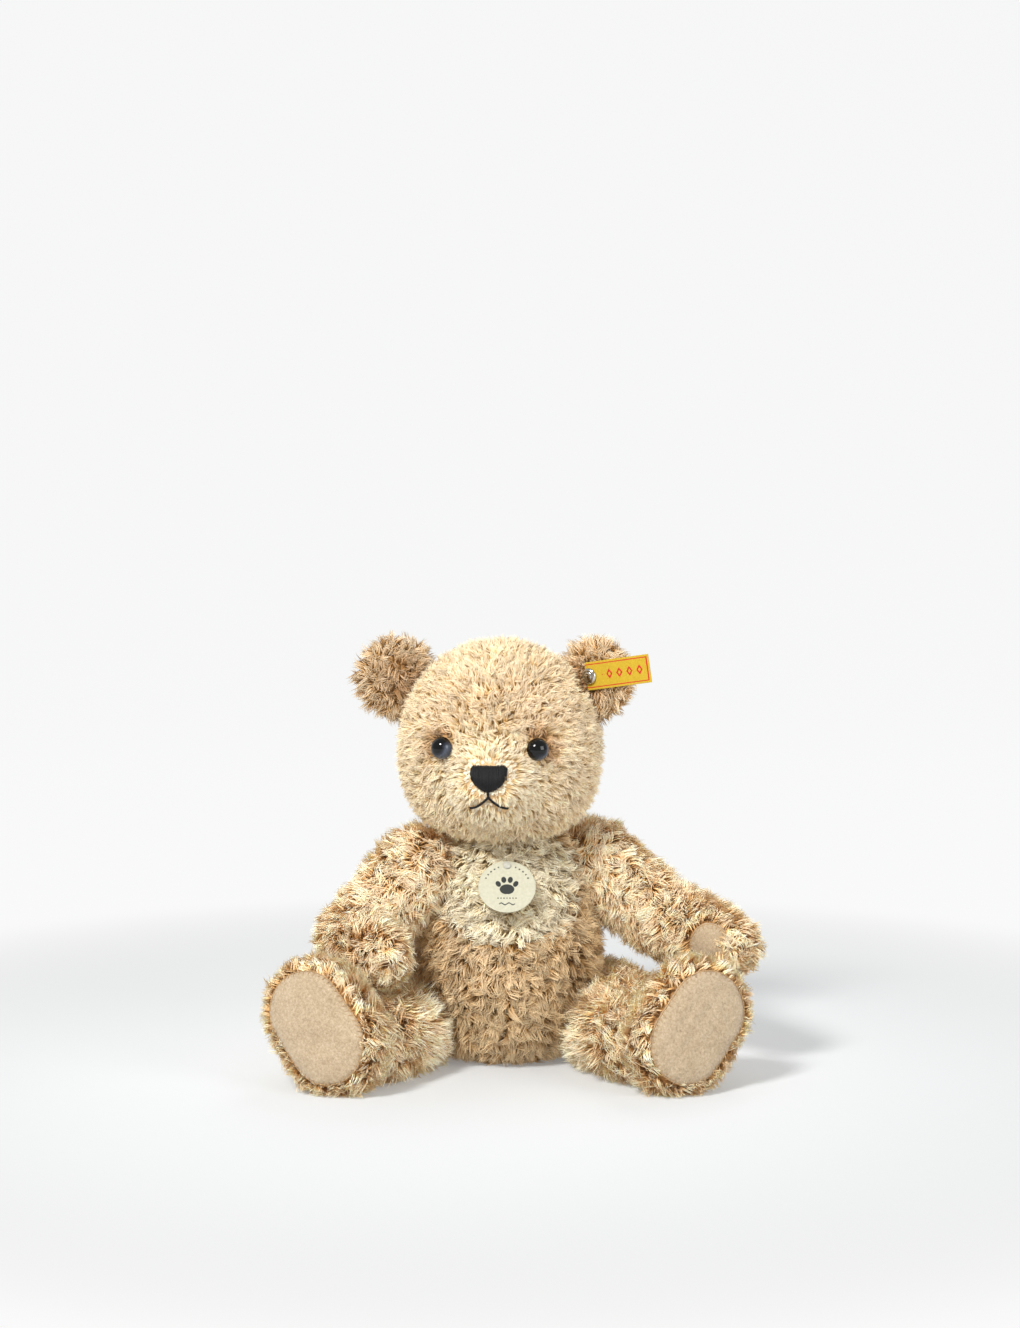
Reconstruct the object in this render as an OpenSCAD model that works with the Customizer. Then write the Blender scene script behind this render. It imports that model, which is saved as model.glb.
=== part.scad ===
// Five-way jointed teddy bear, sitting, millimetres.
// Origin: centre of the seat flat, on the floor. +Z up, the bear faces -Y,
// its own left is +X. Plush covers are modelled to the firm cloth face: the
// pile stands a few millimetres proud of them.

/* [Covers and stuffing] */
// Thickness of the plush covers, cloth and pressed pile together
wall = 3; // [2.8:0.1:3.2]
// Gap between a cover and its stuffing
stuff_gap = 0.4; // [0.3:0.05:0.6]
// Running gap between a limb and the torso at every joint
joint_gap = 0.5; // [0.4:0.05:0.6]

/* [Discs and bolts] */
// Radius of the two discs at each shoulder
shoulder_disc_r = 12.8; // [10:0.1:13]
// Radius of the two discs at each hip
hip_disc_r = 13.5; // [12:0.1:13.7]
// Radius of the two discs at the neck
neck_disc_r = 15.5; // [12:0.1:15.8]
// Thickness of every disc
disc_t = 2.5; // [2:0.1:2.6]
// Radius of the bolt shanks
bolt_r = 2; // [1.8:0.1:2.2]
// Radial running clearance of a disc or nut on its bolt
bolt_clear = 0.05; // [0.03:0.01:0.08]

/* [Head] */
// Turn of the head towards the bear's right, in the modelled rest pose
head_yaw = 5.5; // [0:0.5:10]
// Radius of the ears
ear_r = 19; // [17:0.5:19.5]
// Half thickness of the ears
ear_t = 5.5; // [4.5:0.25:5.75]
// Radius of the eyes
eye_r = 5.75; // [5:0.25:6]
// Radius of the button in the left ear
button_r = 4.2; // [3.5:0.1:4.6]

/* [Tags and pads] */
// Radius of the round chest tag
tag_r = 14.5; // [12:0.5:15]
// Backward lean of the chest tag
tag_lean = 37; // [33:1:40]
// Length of the woven ear tag beyond the button
flag_len = 36; // [26:0.5:38]
// Width of the woven ear tag
flag_w = 14.5; // [12:0.5:15]
// Half width of the foot pads
foot_pad_r = 20.6; // [18:0.2:22]
// Crown of the foot pads
foot_pad_h = 5; // [4:0.25:5.5]
// Radius of the paw pads
paw_pad_r = 11.5; // [9:0.5:12]

/* [Hidden] */
$fn = 48;
eps = 0.1;

plush = [0.86, 0.72, 0.53];
cream = [0.92, 0.87, 0.74];
pad_beige = [0.83, 0.71, 0.54];
fibre = [0.95, 0.94, 0.90];
board = [0.55, 0.40, 0.25];
steel = [0.72, 0.72, 0.74];

// ---- joint frames: a point on the torso's joint flat, and its outward normal
neck_p = [-3.5, -3, 117];
neck_n = [0, 0, 1];
lsh_n = [0.933, 0.250, 0.259];
lsh_p = [32.05, 8.57, 95.4];
rsh_n = [-0.933, -0.250, 0.259];
rsh_p = [-32.05, -8.57, 95.4];
lhip_n = [0.9566, 0.2563, -0.139];
lhip_p = [38.4, 6.1, 26];
rhip_n = [-0.9566, 0.2563, -0.139];
rhip_p = [-38.4, 6.1, 26];
shoulder_seat_r = 21;
hip_seat_r = 24;

// ---- profiles, [radius, height] about the part's own upright axis
torso_profile = [[0, 0], [20, 0], [28.5, 3], [35.5, 8.5], [41, 17], [45, 28.5], [46.5, 42],
  [45.7, 56], [43.2, 70], [40, 84], [36.3, 96], [32, 106], [27, 113], [22, 117], [0, 117]];
head_profile = [[0, 117.5], [22, 117.5], [29, 119.8], [35, 123.2], [40, 127.5], [44.5, 134],
  [48, 144], [49.6, 156.5], [49, 169], [46.3, 180.5], [41, 191.5], [33.5, 200.8], [23.5, 208.2],
  [12, 212.6], [0, 213.8]];

// Moves an open profile inwards by t, with mitred corners. Its first and last
// points lie on the axis.
function unit(v) = v / norm(v);
function edge_n(a, b) = let (d = unit(b - a)) [d[1], -d[0]];
function inset(p, t) = [for (i = [0:len(p) - 1])
  i == 0 ? [0, p[0][1] + t] :
  i == len(p) - 1 ? [0, p[i][1] - t] :
  let (n1 = edge_n(p[i - 1], p[i]), n2 = edge_n(p[i], p[i + 1]))
  p[i] - t * (n1 + n2) / (1 + n1 * n2)];

// Radius of the torso at height z
function torso_r(z) = lookup(z, [for (i = [1:len(torso_profile) - 2]) [torso_profile[i][1], torso_profile[i][0]]]);

// Profile of two balls, L apart, and the cone that touches both
function seg_pts(L, r1, r2, n = 7) = let (t = asin((r1 - r2) / L)) concat(
  [for (i = [0:n]) let (a = -90 + (90 + t) * i / n) [r1 * cos(a), r1 * sin(a)]],
  [for (i = [0:n]) let (a = t + (90 - t) * i / n) [r2 * cos(a), L + r2 * sin(a)]]);

// Lens with a rounded rim, for the ears
function lens_pts(r, t) = concat(
  [for (q = [[0, 1], [0.45, 0.96], [0.7, 0.83], [0.87, 0.6], [0.965, 0.3], [1, 0]]) [q[0] * r, -q[1] * t]],
  [for (q = [[0.965, 0.3], [0.87, 0.6], [0.7, 0.83], [0.45, 0.96], [0, 1]]) [q[0] * r, q[1] * t]]);

// Outline of a line of stitches of width w along the points p
function side_pts(p, w) = [for (i = [0:len(p) - 1])
  let (a = p[max(i - 1, 0)], b = p[min(i + 1, len(p) - 1)], d = unit(b - a)) p[i] + [-d[1], d[0]] * w / 2];
function band_pts(p, w) = concat(side_pts(p, w), [for (i = [len(p) - 1:-1:0]) side_pts(p, -w)[i]]);

// Puts +Z along n, at point p
module along(n, p) translate(p) rotate([0, acos(n[2] / norm(n)), atan2(n[1], n[0])]) children();

// A limb segment: balls r1 at a and r2 at b with their common cone
module seg(a, b, r1, r2) along(b - a, a) rotate_extrude() polygon(seg_pts(norm(b - a), r1, r2));

// Everything on the torso's side of height s above a joint flat
module behind(n, p, s) along(n, p) translate([-150, -150, s - 300]) cube([300, 300, 300]);

// A round bar from s1 to s2 along a joint axis
module bar(n, p, r, s1, s2) along(n, p) translate([0, 0, s1]) cylinder(r = r, h = s2 - s1);

// ---- torso
module torso_solid(t) {
  difference() {
    rotate_extrude() polygon(inset(torso_profile, t));
    for (j = [[lsh_n, lsh_p, shoulder_seat_r], [rsh_n, rsh_p, shoulder_seat_r], [lhip_n, lhip_p, hip_seat_r], [rhip_n, rhip_p, hip_seat_r]])
      bar(j[0], j[1], j[2] + t, -t, 40);
  }
}
module torso_wall() {
  difference() {
    torso_solid(0);
    torso_solid(wall);
    for (j = [[lsh_n, lsh_p], [rsh_n, rsh_p], [lhip_n, lhip_p], [rhip_n, rhip_p], [neck_n, neck_p]])
      bar(j[0], j[1], bolt_r + 0.3, -8, 8);
  }
}
// Front prism of the cream chest panel, drawn smaller by g on every side
module bib_prism(g) {
  translate([0, -10, 0]) rotate([90, 0, 0]) linear_extrude(60)
    polygon([[-33 + g, 103 - g], [-27 + g, 111 - g], [27 - g, 111 - g], [33 - g, 103 - g], [33 - g, 88],
      [30 - g, 77 + g], [21 - g, 68.5 + g], [8, 65 + g], [-8, 65 + g], [-21 + g, 68.5 + g], [-30 + g, 77 + g], [-33 + g, 88]]);
}
module torso_shell() color(plush) difference() { torso_wall(); bib_prism(0); }
module chest_bib() color(cream) difference() {
  intersection() { torso_wall(); bib_prism(eps); }
  bar(-tag_n, tag_hole, pin_r + 0.15, -1, 20);
}
module torso_stuffing() color(fibre) difference() {
  torso_solid(wall + stuff_gap);
  for (j = [[lsh_n, lsh_p, shoulder_disc_r], [rsh_n, rsh_p, shoulder_disc_r], [lhip_n, lhip_p, hip_disc_r], [rhip_n, rhip_p, hip_disc_r], [neck_n, neck_p, neck_disc_r]]) {
    bar(j[0], j[1], j[2] + 0.7, -7, 2);
    bar(j[0], j[1], 6, -12.5, -6);
  }
  bar(-tag_n, tag_hole, 6, 0, 13.5);
}
// Ladder stitches that close the back of the torso
module back_seam() color(plush) for (z = [26:4:102])
  translate([-2.6, torso_r(z) + 0.95, z]) rotate([0, 90, 0]) cylinder(r = 0.5, h = 5.2, $fn = 16);

// ---- head, in its own frame about the neck axis
module on_head() translate([neck_p[0], neck_p[1], 0]) rotate([0, 0, -head_yaw]) children();
muzzle_a = [0, -16, 149];
muzzle_b = [0, -38.5, 146.5];
muzzle_r = 22.5;
module head_solid(t) {
  rotate_extrude() polygon(inset(head_profile, t));
  seg(muzzle_a, muzzle_b, 31 - t, muzzle_r - t);
}
function eye_p(s) = s > 0 ? [22.5, -43.7, 165] : [-24.2, -42.8, 165];
function eye_n(s) = [s * 0.40, -0.905, 0.15];
module eye_bar(s, r, s1, s2) bar(eye_n(s), eye_p(s), r, s1, s2);
module head_shell() color(plush) on_head() difference() {
  head_solid(0);
  head_solid(wall);
  bar([0, 0, 1], [0, 0, neck_p[2]], bolt_r + 0.1, -1, 6);
  for (s = [-1, 1]) eye_bar(s, 1.6, -9, 4);
}
module head_stuffing() color(fibre) on_head() difference() {
  head_solid(wall + stuff_gap);
  bar([0, 0, 1], [0, 0, neck_p[2]], neck_disc_r + 0.7, 1, 3.55 + disc_t + 0.4);
  bar([0, 0, 1], [0, 0, neck_p[2]], 4.6, 5, 9.4);
  for (s = [-1, 1]) eye_bar(s, 7, -10, 2);
}
// Ears: centre, and how far the outer edge is cupped forwards
function ear_c(s) = s > 0 ? [48.5, 3.6, 196.5] : [-54.5, 3, 196.5];
function ear_cup(s) = s > 0 ? 28 : 20;
// Frame of an ear: -Y is its front, X points away from the head on the left ear
module on_ear(s) translate(ear_c(s)) rotate([0, 0, -s * ear_cup(s)]) children();
module ear(s) difference() {
  on_ear(s) {
    rotate([90, 0, 0]) rotate_extrude() polygon(lens_pts(ear_r, ear_t));
    translate([-s * (s > 0 ? 9 : 11), 0.6, -11.5]) rotate([90, 0, 0]) rotate_extrude() polygon(lens_pts(ear_r - 5, ear_t - 0.7));
  }
  rotate_extrude() polygon(inset(head_profile, -0.12));
}
// Ear button and tag sit on the left ear, a little towards the head
pin_r = 0.8;
button_dx = 1.2;
button_dz = 1.7;
module on_button() on_ear(1) translate([button_dx, 0, button_dz]) rotate([90, 0, 0]) children();
module left_ear() color(plush) on_head() difference() {
  ear(1);
  on_button() translate([0, 0, -20]) cylinder(r = 1.3, h = 40);
}
module right_ear() color(plush) on_head() ear(-1);
module eye(s) color([0.10, 0.10, 0.12]) on_head() along(eye_n(s), eye_p(s)) rotate_extrude()
  polygon([[0, -8.5], [1.3, -8.5], [1.5, -8.1], [1.5, 1.1], [eye_r - 0.6, 1.1], [eye_r - 0.1, 1.7], [eye_r, 2.6],
    [eye_r - 0.35, 4.1], [eye_r - 1.3, 5.5], [eye_r - 2.8, 6.5], [1.5, 7], [0, 7.15]]);
module left_eye() eye(1);
module right_eye() eye(-1);
module eye_washer(s) color([0.85, 0.85, 0.83]) on_head() difference() {
  union() { eye_bar(s, 6, -5.8, -4.4); eye_bar(s, 2.8, -7.2, -5.2); }
  eye_bar(s, 1.55, -9, -3);
}
module left_eye_washer() eye_washer(1);
module right_eye_washer() eye_washer(-1);
// A layer of thread over the muzzle ball, between two heights above the cover
module on_muzzle(h1, h2) intersection() {
  difference() {
    translate(muzzle_b) sphere(r = muzzle_r + h2);
    translate(muzzle_b) sphere(r = muzzle_r + h1);
  }
  translate([0, -45, 0]) rotate([90, 0, 0]) linear_extrude(30) children();
}
module nose_embroidery() color([0.12, 0.11, 0.13]) on_head() on_muzzle(0.12, 2.1)
  polygon([[-7.6, 158.2], [7.6, 158.2], [9.1, 156.9], [9.3, 154.4], [8.6, 151.6], [6.4, 148.8], [3.8, 146.8], [1.6, 145.9],
    [-1.6, 145.9], [-3.8, 146.8], [-6.4, 148.8], [-8.6, 151.6], [-9.3, 154.4], [-9.1, 156.9]]);
module mouth_stitching() color([0.12, 0.11, 0.13]) on_head() on_muzzle(0.12, 1.1) union() {
  polygon(band_pts([[0, 145.7], [0, 142.4]], 1.3));
  for (s = [-1, 1]) polygon(band_pts([for (i = [0:6]) [s * (9.2 * i / 6 - 0.2), 137.2 + 5.8 * pow(1 - i / 6, 1.8)]], 1.3));
}
module ear_button() color([0.84, 0.82, 0.76]) on_head() on_button() translate([0, 0, ear_t + 1.5]) rotate_extrude()
  polygon([[0, -14.2], [1.2, -14.2], [1.2, 0], [button_r - 0.4, 0], [button_r, 0.4], [button_r, 0.9], [button_r - 0.5, 1.5],
    [button_r - 1.4, 1.85], [1.6, 2.1], [0, 2.15]]);
module ear_button_backplate() color(steel) on_head() on_button() translate([0, 0, -ear_t - 1.2]) difference() {
  cylinder(r = 4, h = 0.8);
  translate([0, 0, -1]) cylinder(r = 1.25, h = 3);
}
flag_tilt = 9.6;
module ear_tag() color([0.90, 0.72, 0.18]) on_head() on_button() translate([0, 0, ear_t + 0.6]) rotate([0, 0, flag_tilt])
  difference() {
    linear_extrude(0.7) union() {
      translate([-1, -flag_w / 2]) square([flag_len + 1, flag_w]);
      translate([-4, 3 - flag_w / 2]) square([4, flag_w - 6]);
      for (y = [3 - flag_w / 2, flag_w / 2 - 3]) translate([-1, y]) circle(r = 3);
    }
    translate([0, 0, -1]) cylinder(r = 1.25, h = 3);
  }

// ---- chest tag on its plastic fastener
tag_c = [0, -45, 95];
tag_n = [0, -cos(tag_lean), sin(tag_lean)];
tag_up = [0, sin(tag_lean), cos(tag_lean)];
tag_hole = tag_c + tag_up * (tag_r - 2.7);
module chest_tag() color([0.80, 0.79, 0.72]) difference() {
  bar(tag_n, tag_c, tag_r, -0.4, 0.4);
  bar(tag_n, tag_hole, pin_r + 0.05, -2, 2);
}
module tag_fastener() color([0.93, 0.93, 0.92]) {
  along(-tag_n, tag_hole) rotate_extrude() polygon([[0, -1.6], [1.2, -1.5], [1.9, -1.1], [1.9, -0.55], [pin_r, -0.5], [pin_r, 11.2], [0, 11.2]]);
  translate(tag_hole - tag_n * 11) rotate([0, 90, 0]) translate([0, 0, -4.5]) cylinder(r = 1.1, h = 9);
}

// ---- arms: root ball, elbow, paw
lroot = lsh_p + 14 * lsh_n;
lelbow = [80, 0, 72];
lpaw = [112, -38, 64];
rroot = rsh_p + 14 * rsh_n;
relbow = [-77, -26, 65];
rpaw = [-64, -56.5, 62];
module arm_solid(n, p, root, elbow, paw, t) difference() {
  union() {
    seg(root, elbow, 20 - t, 17.5 - t);
    seg(elbow, paw, 18.5 - t, 14.5 - t);
  }
  behind(n, p, joint_gap + t);
}
module arm_shell(n, p, root, elbow, paw) color(plush) difference() {
  arm_solid(n, p, root, elbow, paw, 0);
  arm_solid(n, p, root, elbow, paw, wall);
  bar(n, p, bolt_r + 0.1, -1, 6);
}
module arm_stuffing(n, p, root, elbow, paw) color(fibre) difference() {
  arm_solid(n, p, root, elbow, paw, wall + stuff_gap);
  bar(n, p, shoulder_disc_r + 0.7, 1, 3.55 + disc_t + 0.4);
  bar(n, p, 4.6, 5, 9.4);
}
// Suede patch laid on the palm side of a paw
module paw_pad(elbow, paw, palm, back) color(pad_beige) intersection() {
  difference() {
    seg(elbow, paw, 19.8, 15.8);
    seg(elbow, paw, 18.62, 14.62);
  }
  bar(palm, paw + back * unit(elbow - paw), paw_pad_r, 2, 30);
}
module left_arm_shell() arm_shell(lsh_n, lsh_p, lroot, lelbow, lpaw);
module left_arm_stuffing() arm_stuffing(lsh_n, lsh_p, lroot, lelbow, lpaw);
module left_paw_pad() paw_pad(lelbow, lpaw, [-0.22, -0.96, -0.05], 9);
module right_arm_shell() arm_shell(rsh_n, rsh_p, rroot, relbow, rpaw);
module right_arm_stuffing() arm_stuffing(rsh_n, rsh_p, rroot, relbow, rpaw);
module right_paw_pad() paw_pad(relbow, rpaw, [0.50, -0.05, -0.86], 5);

// ---- legs: root ball, ankle, and a foot whose sole is cut flat; s = 1 left, -1 right
sole_n = [0.4185, -0.8975, 0.139];
toe_dir = [0.550, 0.372, 0.747];
// half the straight run between the ends of the foot
foot_e = 9.3;
foot_c = [89, -84, 32];
sole_s = 8.5;
leg_root = lhip_p + 13.5 * lhip_n - [0, 0, 1.8];
module mirror_side(s) if (s > 0) children(); else mirror([1, 0, 0]) children();
// Space the torso needs while the leg swings about its hip: a flat seat that
// falls away outside the disc
module hip_dish(t) along(lhip_n, lhip_p) rotate_extrude()
  polygon([for (q = [[0, -60], [62, -60], [58, -32], [48, -18], [40, -10], [34, -5.5], [29, -2.2], [24, joint_gap], [0, joint_gap]]) [q[0], q[1] + t]]);
module leg_solid(t) difference() {
  union() {
    seg(leg_root, [84, -62, 19.6], 22 - t, 19.2 - t);
    seg([47, -24, 19.2], [67, -65, 19.8], 18.6 - t, 19.5 - t);
    seg(foot_c - foot_e * toe_dir, foot_c + foot_e * toe_dir, 25 - t, 24.5 - t);
  }
  hip_dish(t);
  bar(sole_n, foot_c, 40, sole_s - t, 40);
}
module leg_shell(s) color(plush) mirror_side(s) difference() {
  leg_solid(0);
  leg_solid(wall);
  bar(lhip_n, lhip_p, bolt_r + 0.1, -1, 6);
}
module leg_stuffing(s) color(fibre) mirror_side(s) difference() {
  leg_solid(wall + stuff_gap);
  bar(lhip_n, lhip_p, hip_disc_r + 0.7, 1, 3.55 + disc_t + 0.4);
  bar(lhip_n, lhip_p, 4.6, 5, 9.4);
}
// Crowned sole: two half domes and the vault between them
function dome_pts(r, h) = [[0, 0], [r, 0], [r, 0.25 * h], [0.955 * r, 0.5 * h], [0.84 * r, 0.74 * h], [0.62 * r, 0.91 * h], [0.3 * r, 0.985 * h], [0, h]];
module foot_pad(s) color(pad_beige) mirror_side(s)
  along(sole_n, foot_c + (sole_s + eps) * sole_n)
    rotate([0, 0, toe_angle]) {
      for (e = [0, 180]) rotate([0, 0, e]) translate([foot_e, 0, 0]) rotate_extrude(angle = 180, start = -90) polygon(dome_pts(foot_pad_r, foot_pad_h));
      translate([-foot_e, 0, 0]) rotate([90, 0, 90]) linear_extrude(2 * foot_e) polygon(concat(dome_pts(foot_pad_r, foot_pad_h), [for (q = [5:-1:1]) let (d = dome_pts(foot_pad_r, foot_pad_h)[q]) [-d[0], d[1]]]));
    }
// angle of the toe direction in the sole's own plane
sole_x = [cos(acos(sole_n[2])) * cos(atan2(sole_n[1], sole_n[0])), cos(acos(sole_n[2])) * sin(atan2(sole_n[1], sole_n[0])), -sin(acos(sole_n[2]))];
toe_angle = atan2(toe_dir * cross(sole_n, sole_x), toe_dir * sole_x);
module left_leg_shell() leg_shell(1);
module left_leg_stuffing() leg_stuffing(1);
module left_foot_pad() foot_pad(1);
module right_leg_shell() leg_shell(-1);
module right_leg_stuffing() leg_stuffing(-1);
module right_foot_pad() foot_pad(-1);

// ---- disc joints: the outer disc, bolt and locknut turn with the limb, the
// inner disc and washer stay in the torso
module outer_disc(n, p, r) color(board) difference() {
  bar(n, p, r, joint_gap + wall + 0.05, joint_gap + wall + 0.05 + disc_t);
  bar(n, p, bolt_r + bolt_clear, 0, 20);
}
module inner_disc(n, p, r) color(board) difference() {
  bar(n, p, r, -wall - 0.05 - disc_t, -wall - 0.05);
  bar(n, p, bolt_r + bolt_clear, -20, 0);
}
bolt_seat = joint_gap + wall + 0.1 + disc_t;
nut_top = -wall - 0.1 - disc_t - 1.1;
module bolt(n, p) color(steel) difference() {
  along(n, p) rotate_extrude() polygon([[0, nut_top - 4.9], [bolt_r - 0.4, nut_top - 4.9], [bolt_r, nut_top - 4.5], [bolt_r, bolt_seat],
    [3.8, bolt_seat], [3.8, bolt_seat + 1.7], [3.2, bolt_seat + 2.4], [0, bolt_seat + 2.4]]);
  along(n, p) translate([-0.5, -5, bolt_seat + 1.3]) cube([1, 10, 3]);
}
module locknut(n, p) color(steel) difference() {
  along(n, p) translate([0, 0, nut_top - 4.1]) {
    translate([0, 0, 1]) cylinder(r = 4.05, h = 3.1, $fn = 6);
    cylinder(r = 3.3, h = 2);
  }
  bar(n, p, bolt_r + 0.03, nut_top - 8, nut_top + 3);
}
module washer_at(n, p) difference() {
  bar(n, p, 5, -wall - 0.1 - disc_t - 1, -wall - 0.1 - disc_t);
  bar(n, p, bolt_r + 0.1, -20, 0);
}
module joint_washers() color(steel) {
  washer_at(neck_n, neck_p);
  washer_at(lsh_n, lsh_p);
  washer_at(rsh_n, rsh_p);
  washer_at(lhip_n, lhip_p);
  washer_at(rhip_n, rhip_p);
}
module neck_outer_disc() outer_disc(neck_n, neck_p, neck_disc_r);
module neck_inner_disc() inner_disc(neck_n, neck_p, neck_disc_r);
module neck_bolt() bolt(neck_n, neck_p);
module neck_locknut() locknut(neck_n, neck_p);
module left_shoulder_outer_disc() outer_disc(lsh_n, lsh_p, shoulder_disc_r);
module left_shoulder_inner_disc() inner_disc(lsh_n, lsh_p, shoulder_disc_r);
module left_shoulder_bolt() bolt(lsh_n, lsh_p);
module left_shoulder_locknut() locknut(lsh_n, lsh_p);
module right_shoulder_outer_disc() outer_disc(rsh_n, rsh_p, shoulder_disc_r);
module right_shoulder_inner_disc() inner_disc(rsh_n, rsh_p, shoulder_disc_r);
module right_shoulder_bolt() bolt(rsh_n, rsh_p);
module right_shoulder_locknut() locknut(rsh_n, rsh_p);
module left_hip_outer_disc() outer_disc(lhip_n, lhip_p, hip_disc_r);
module left_hip_inner_disc() inner_disc(lhip_n, lhip_p, hip_disc_r);
module left_hip_bolt() bolt(lhip_n, lhip_p);
module left_hip_locknut() locknut(lhip_n, lhip_p);
module right_hip_outer_disc() outer_disc(rhip_n, rhip_p, hip_disc_r);
module right_hip_inner_disc() inner_disc(rhip_n, rhip_p, hip_disc_r);
module right_hip_bolt() bolt(rhip_n, rhip_p);
module right_hip_locknut() locknut(rhip_n, rhip_p);

torso_shell();
torso_stuffing();
chest_bib();
back_seam();
head_shell();
head_stuffing();
left_ear();
right_ear();
left_eye();
right_eye();
left_eye_washer();
right_eye_washer();
nose_embroidery();
mouth_stitching();
ear_button();
ear_button_backplate();
ear_tag();
chest_tag();
tag_fastener();
left_arm_shell();
left_arm_stuffing();
left_paw_pad();
right_arm_shell();
right_arm_stuffing();
right_paw_pad();
left_leg_shell();
left_leg_stuffing();
left_foot_pad();
right_leg_shell();
right_leg_stuffing();
right_foot_pad();
neck_outer_disc();
neck_inner_disc();
neck_bolt();
neck_locknut();
left_shoulder_outer_disc();
left_shoulder_inner_disc();
left_shoulder_bolt();
left_shoulder_locknut();
right_shoulder_outer_disc();
right_shoulder_inner_disc();
right_shoulder_bolt();
right_shoulder_locknut();
left_hip_outer_disc();
left_hip_inner_disc();
left_hip_bolt();
left_hip_locknut();
right_hip_outer_disc();
right_hip_inner_disc();
right_hip_bolt();
right_hip_locknut();
joint_washers();
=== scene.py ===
import bpy
import math
import time
import numpy as np
from mathutils import Vector, Matrix
from mathutils.bvhtree import BVHTree


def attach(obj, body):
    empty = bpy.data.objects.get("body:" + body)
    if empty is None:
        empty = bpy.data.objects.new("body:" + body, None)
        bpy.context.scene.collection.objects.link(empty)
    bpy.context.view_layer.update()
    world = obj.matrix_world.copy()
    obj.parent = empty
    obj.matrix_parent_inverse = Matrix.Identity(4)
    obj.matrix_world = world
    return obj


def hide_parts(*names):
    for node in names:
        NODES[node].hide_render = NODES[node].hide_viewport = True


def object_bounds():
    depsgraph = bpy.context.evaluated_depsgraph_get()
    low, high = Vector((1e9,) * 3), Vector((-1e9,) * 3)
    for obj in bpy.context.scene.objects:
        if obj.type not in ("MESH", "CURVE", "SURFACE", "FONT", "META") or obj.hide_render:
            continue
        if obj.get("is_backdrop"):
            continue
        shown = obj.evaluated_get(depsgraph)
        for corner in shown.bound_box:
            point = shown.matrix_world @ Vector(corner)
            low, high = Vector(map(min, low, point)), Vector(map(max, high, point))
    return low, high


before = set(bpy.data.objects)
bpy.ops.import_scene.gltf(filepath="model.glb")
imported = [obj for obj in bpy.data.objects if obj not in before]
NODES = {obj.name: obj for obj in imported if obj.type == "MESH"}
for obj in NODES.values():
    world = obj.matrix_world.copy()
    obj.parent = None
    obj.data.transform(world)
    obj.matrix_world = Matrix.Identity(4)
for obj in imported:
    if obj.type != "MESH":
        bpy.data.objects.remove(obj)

T0 = time.time()
SIZE0 = [list(map(float, v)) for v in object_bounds()]
MM = 0.001
scene = bpy.context.scene


def say(*a):
    print("[bear %.1fs]" % (time.time() - T0), *a, flush=True)


def lin(r, g, b):
    """sRGB 0..255 to linear."""
    out = []
    for c in (r, g, b):
        c = c / 255.0
        out.append(c / 12.92 if c <= 0.04045 else ((c + 0.055) / 1.055) ** 2.4)
    return np.array(out)


def unit(v):
    v = np.asarray(v, float)
    n = np.linalg.norm(v, axis=-1, keepdims=True)
    return v / np.maximum(n, 1e-12)


def smoothstep(a, b, x):
    t = np.clip((x - a) / (b - a), 0, 1)
    return t * t * (3 - 2 * t)


# --------------------------------------------------------------------------
# frames, in millimetres
# --------------------------------------------------------------------------
def mat_t(x, y, z):
    m = np.eye(4)
    m[:3, 3] = (x, y, z)
    return m


def mat_r(axis, deg):
    return np.array(Matrix.Rotation(math.radians(deg), 4, axis))


HEAD = mat_t(-3.5, -3, 0) @ mat_r("Z", -5.5)
HEAD_I = np.linalg.inv(HEAD)
EAR_L = HEAD @ mat_t(48.5, 3.6, 196.5) @ mat_r("Z", -28)
EAR_R = HEAD @ mat_t(-54.5, 3, 196.5) @ mat_r("Z", 20)
BUTTON = EAR_L @ mat_t(1.2, 0, 1.7) @ mat_r("X", 90)
FLAG = BUTTON @ mat_t(0, 0, 6.1) @ mat_r("Z", 9.6)
MUZ_B = np.array([0, -38.5, 146.5])
MUZ_R = 22.5
EYE_P = {1: np.array([22.5, -43.7, 165.0]), -1: np.array([-24.2, -42.8, 165.0])}
EYE_N = {s: unit([s * 0.40, -0.905, 0.15]) for s in (1, -1)}
TAG_C = np.array([0, -45.0, 95.0])
TAG_N = np.array([0, -math.cos(math.radians(37)), math.sin(math.radians(37))])
TAG_UP = np.array([0, math.sin(math.radians(37)), math.cos(math.radians(37))])
TAG_R = 14.5
FOOT_C = np.array([89.0, -84.0, 32.0])
SOLE_N = unit([0.4185, -0.8975, 0.139])
TOE_DIR = unit([0.550, 0.372, 0.747])
SHIELD = np.array([[-7.6, 158.2], [7.6, 158.2], [9.1, 156.9], [9.3, 154.4], [8.6, 151.6], [6.4, 148.8], [3.8, 146.8], [1.6, 145.9],
                   [-1.6, 145.9], [-3.8, 146.8], [-6.4, 148.8], [-8.6, 151.6], [-9.3, 154.4], [-9.1, 156.9]])


def mirror(v):
    return np.array([-v[0], v[1], v[2]])


def xf(m, p):
    p = np.asarray(p, float)
    return p @ m[:3, :3].T + m[:3, 3]


def rot(m, p):
    return np.asarray(p, float) @ m[:3, :3].T


# --------------------------------------------------------------------------
# meshes
# --------------------------------------------------------------------------
def mesh_from(name, verts_mm, faces, smooth=True):
    """verts in millimetres; faces a list of index tuples or an (n, k) array."""
    me = bpy.data.meshes.new(name)
    v = np.asarray(verts_mm, float) * MM
    if isinstance(faces, np.ndarray):
        faces = faces.tolist()
    me.from_pydata(v.tolist(), [], faces)
    me.update()
    if smooth:
        me.polygons.foreach_set("use_smooth", np.ones(len(me.polygons), bool))
    ob = bpy.data.objects.new(name, me)
    scene.collection.objects.link(ob)
    return ob


def coords(me):
    co = np.empty(len(me.vertices) * 3, np.float32)
    me.vertices.foreach_get("co", co)
    return co.reshape(-1, 3).astype(float) / MM


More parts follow.
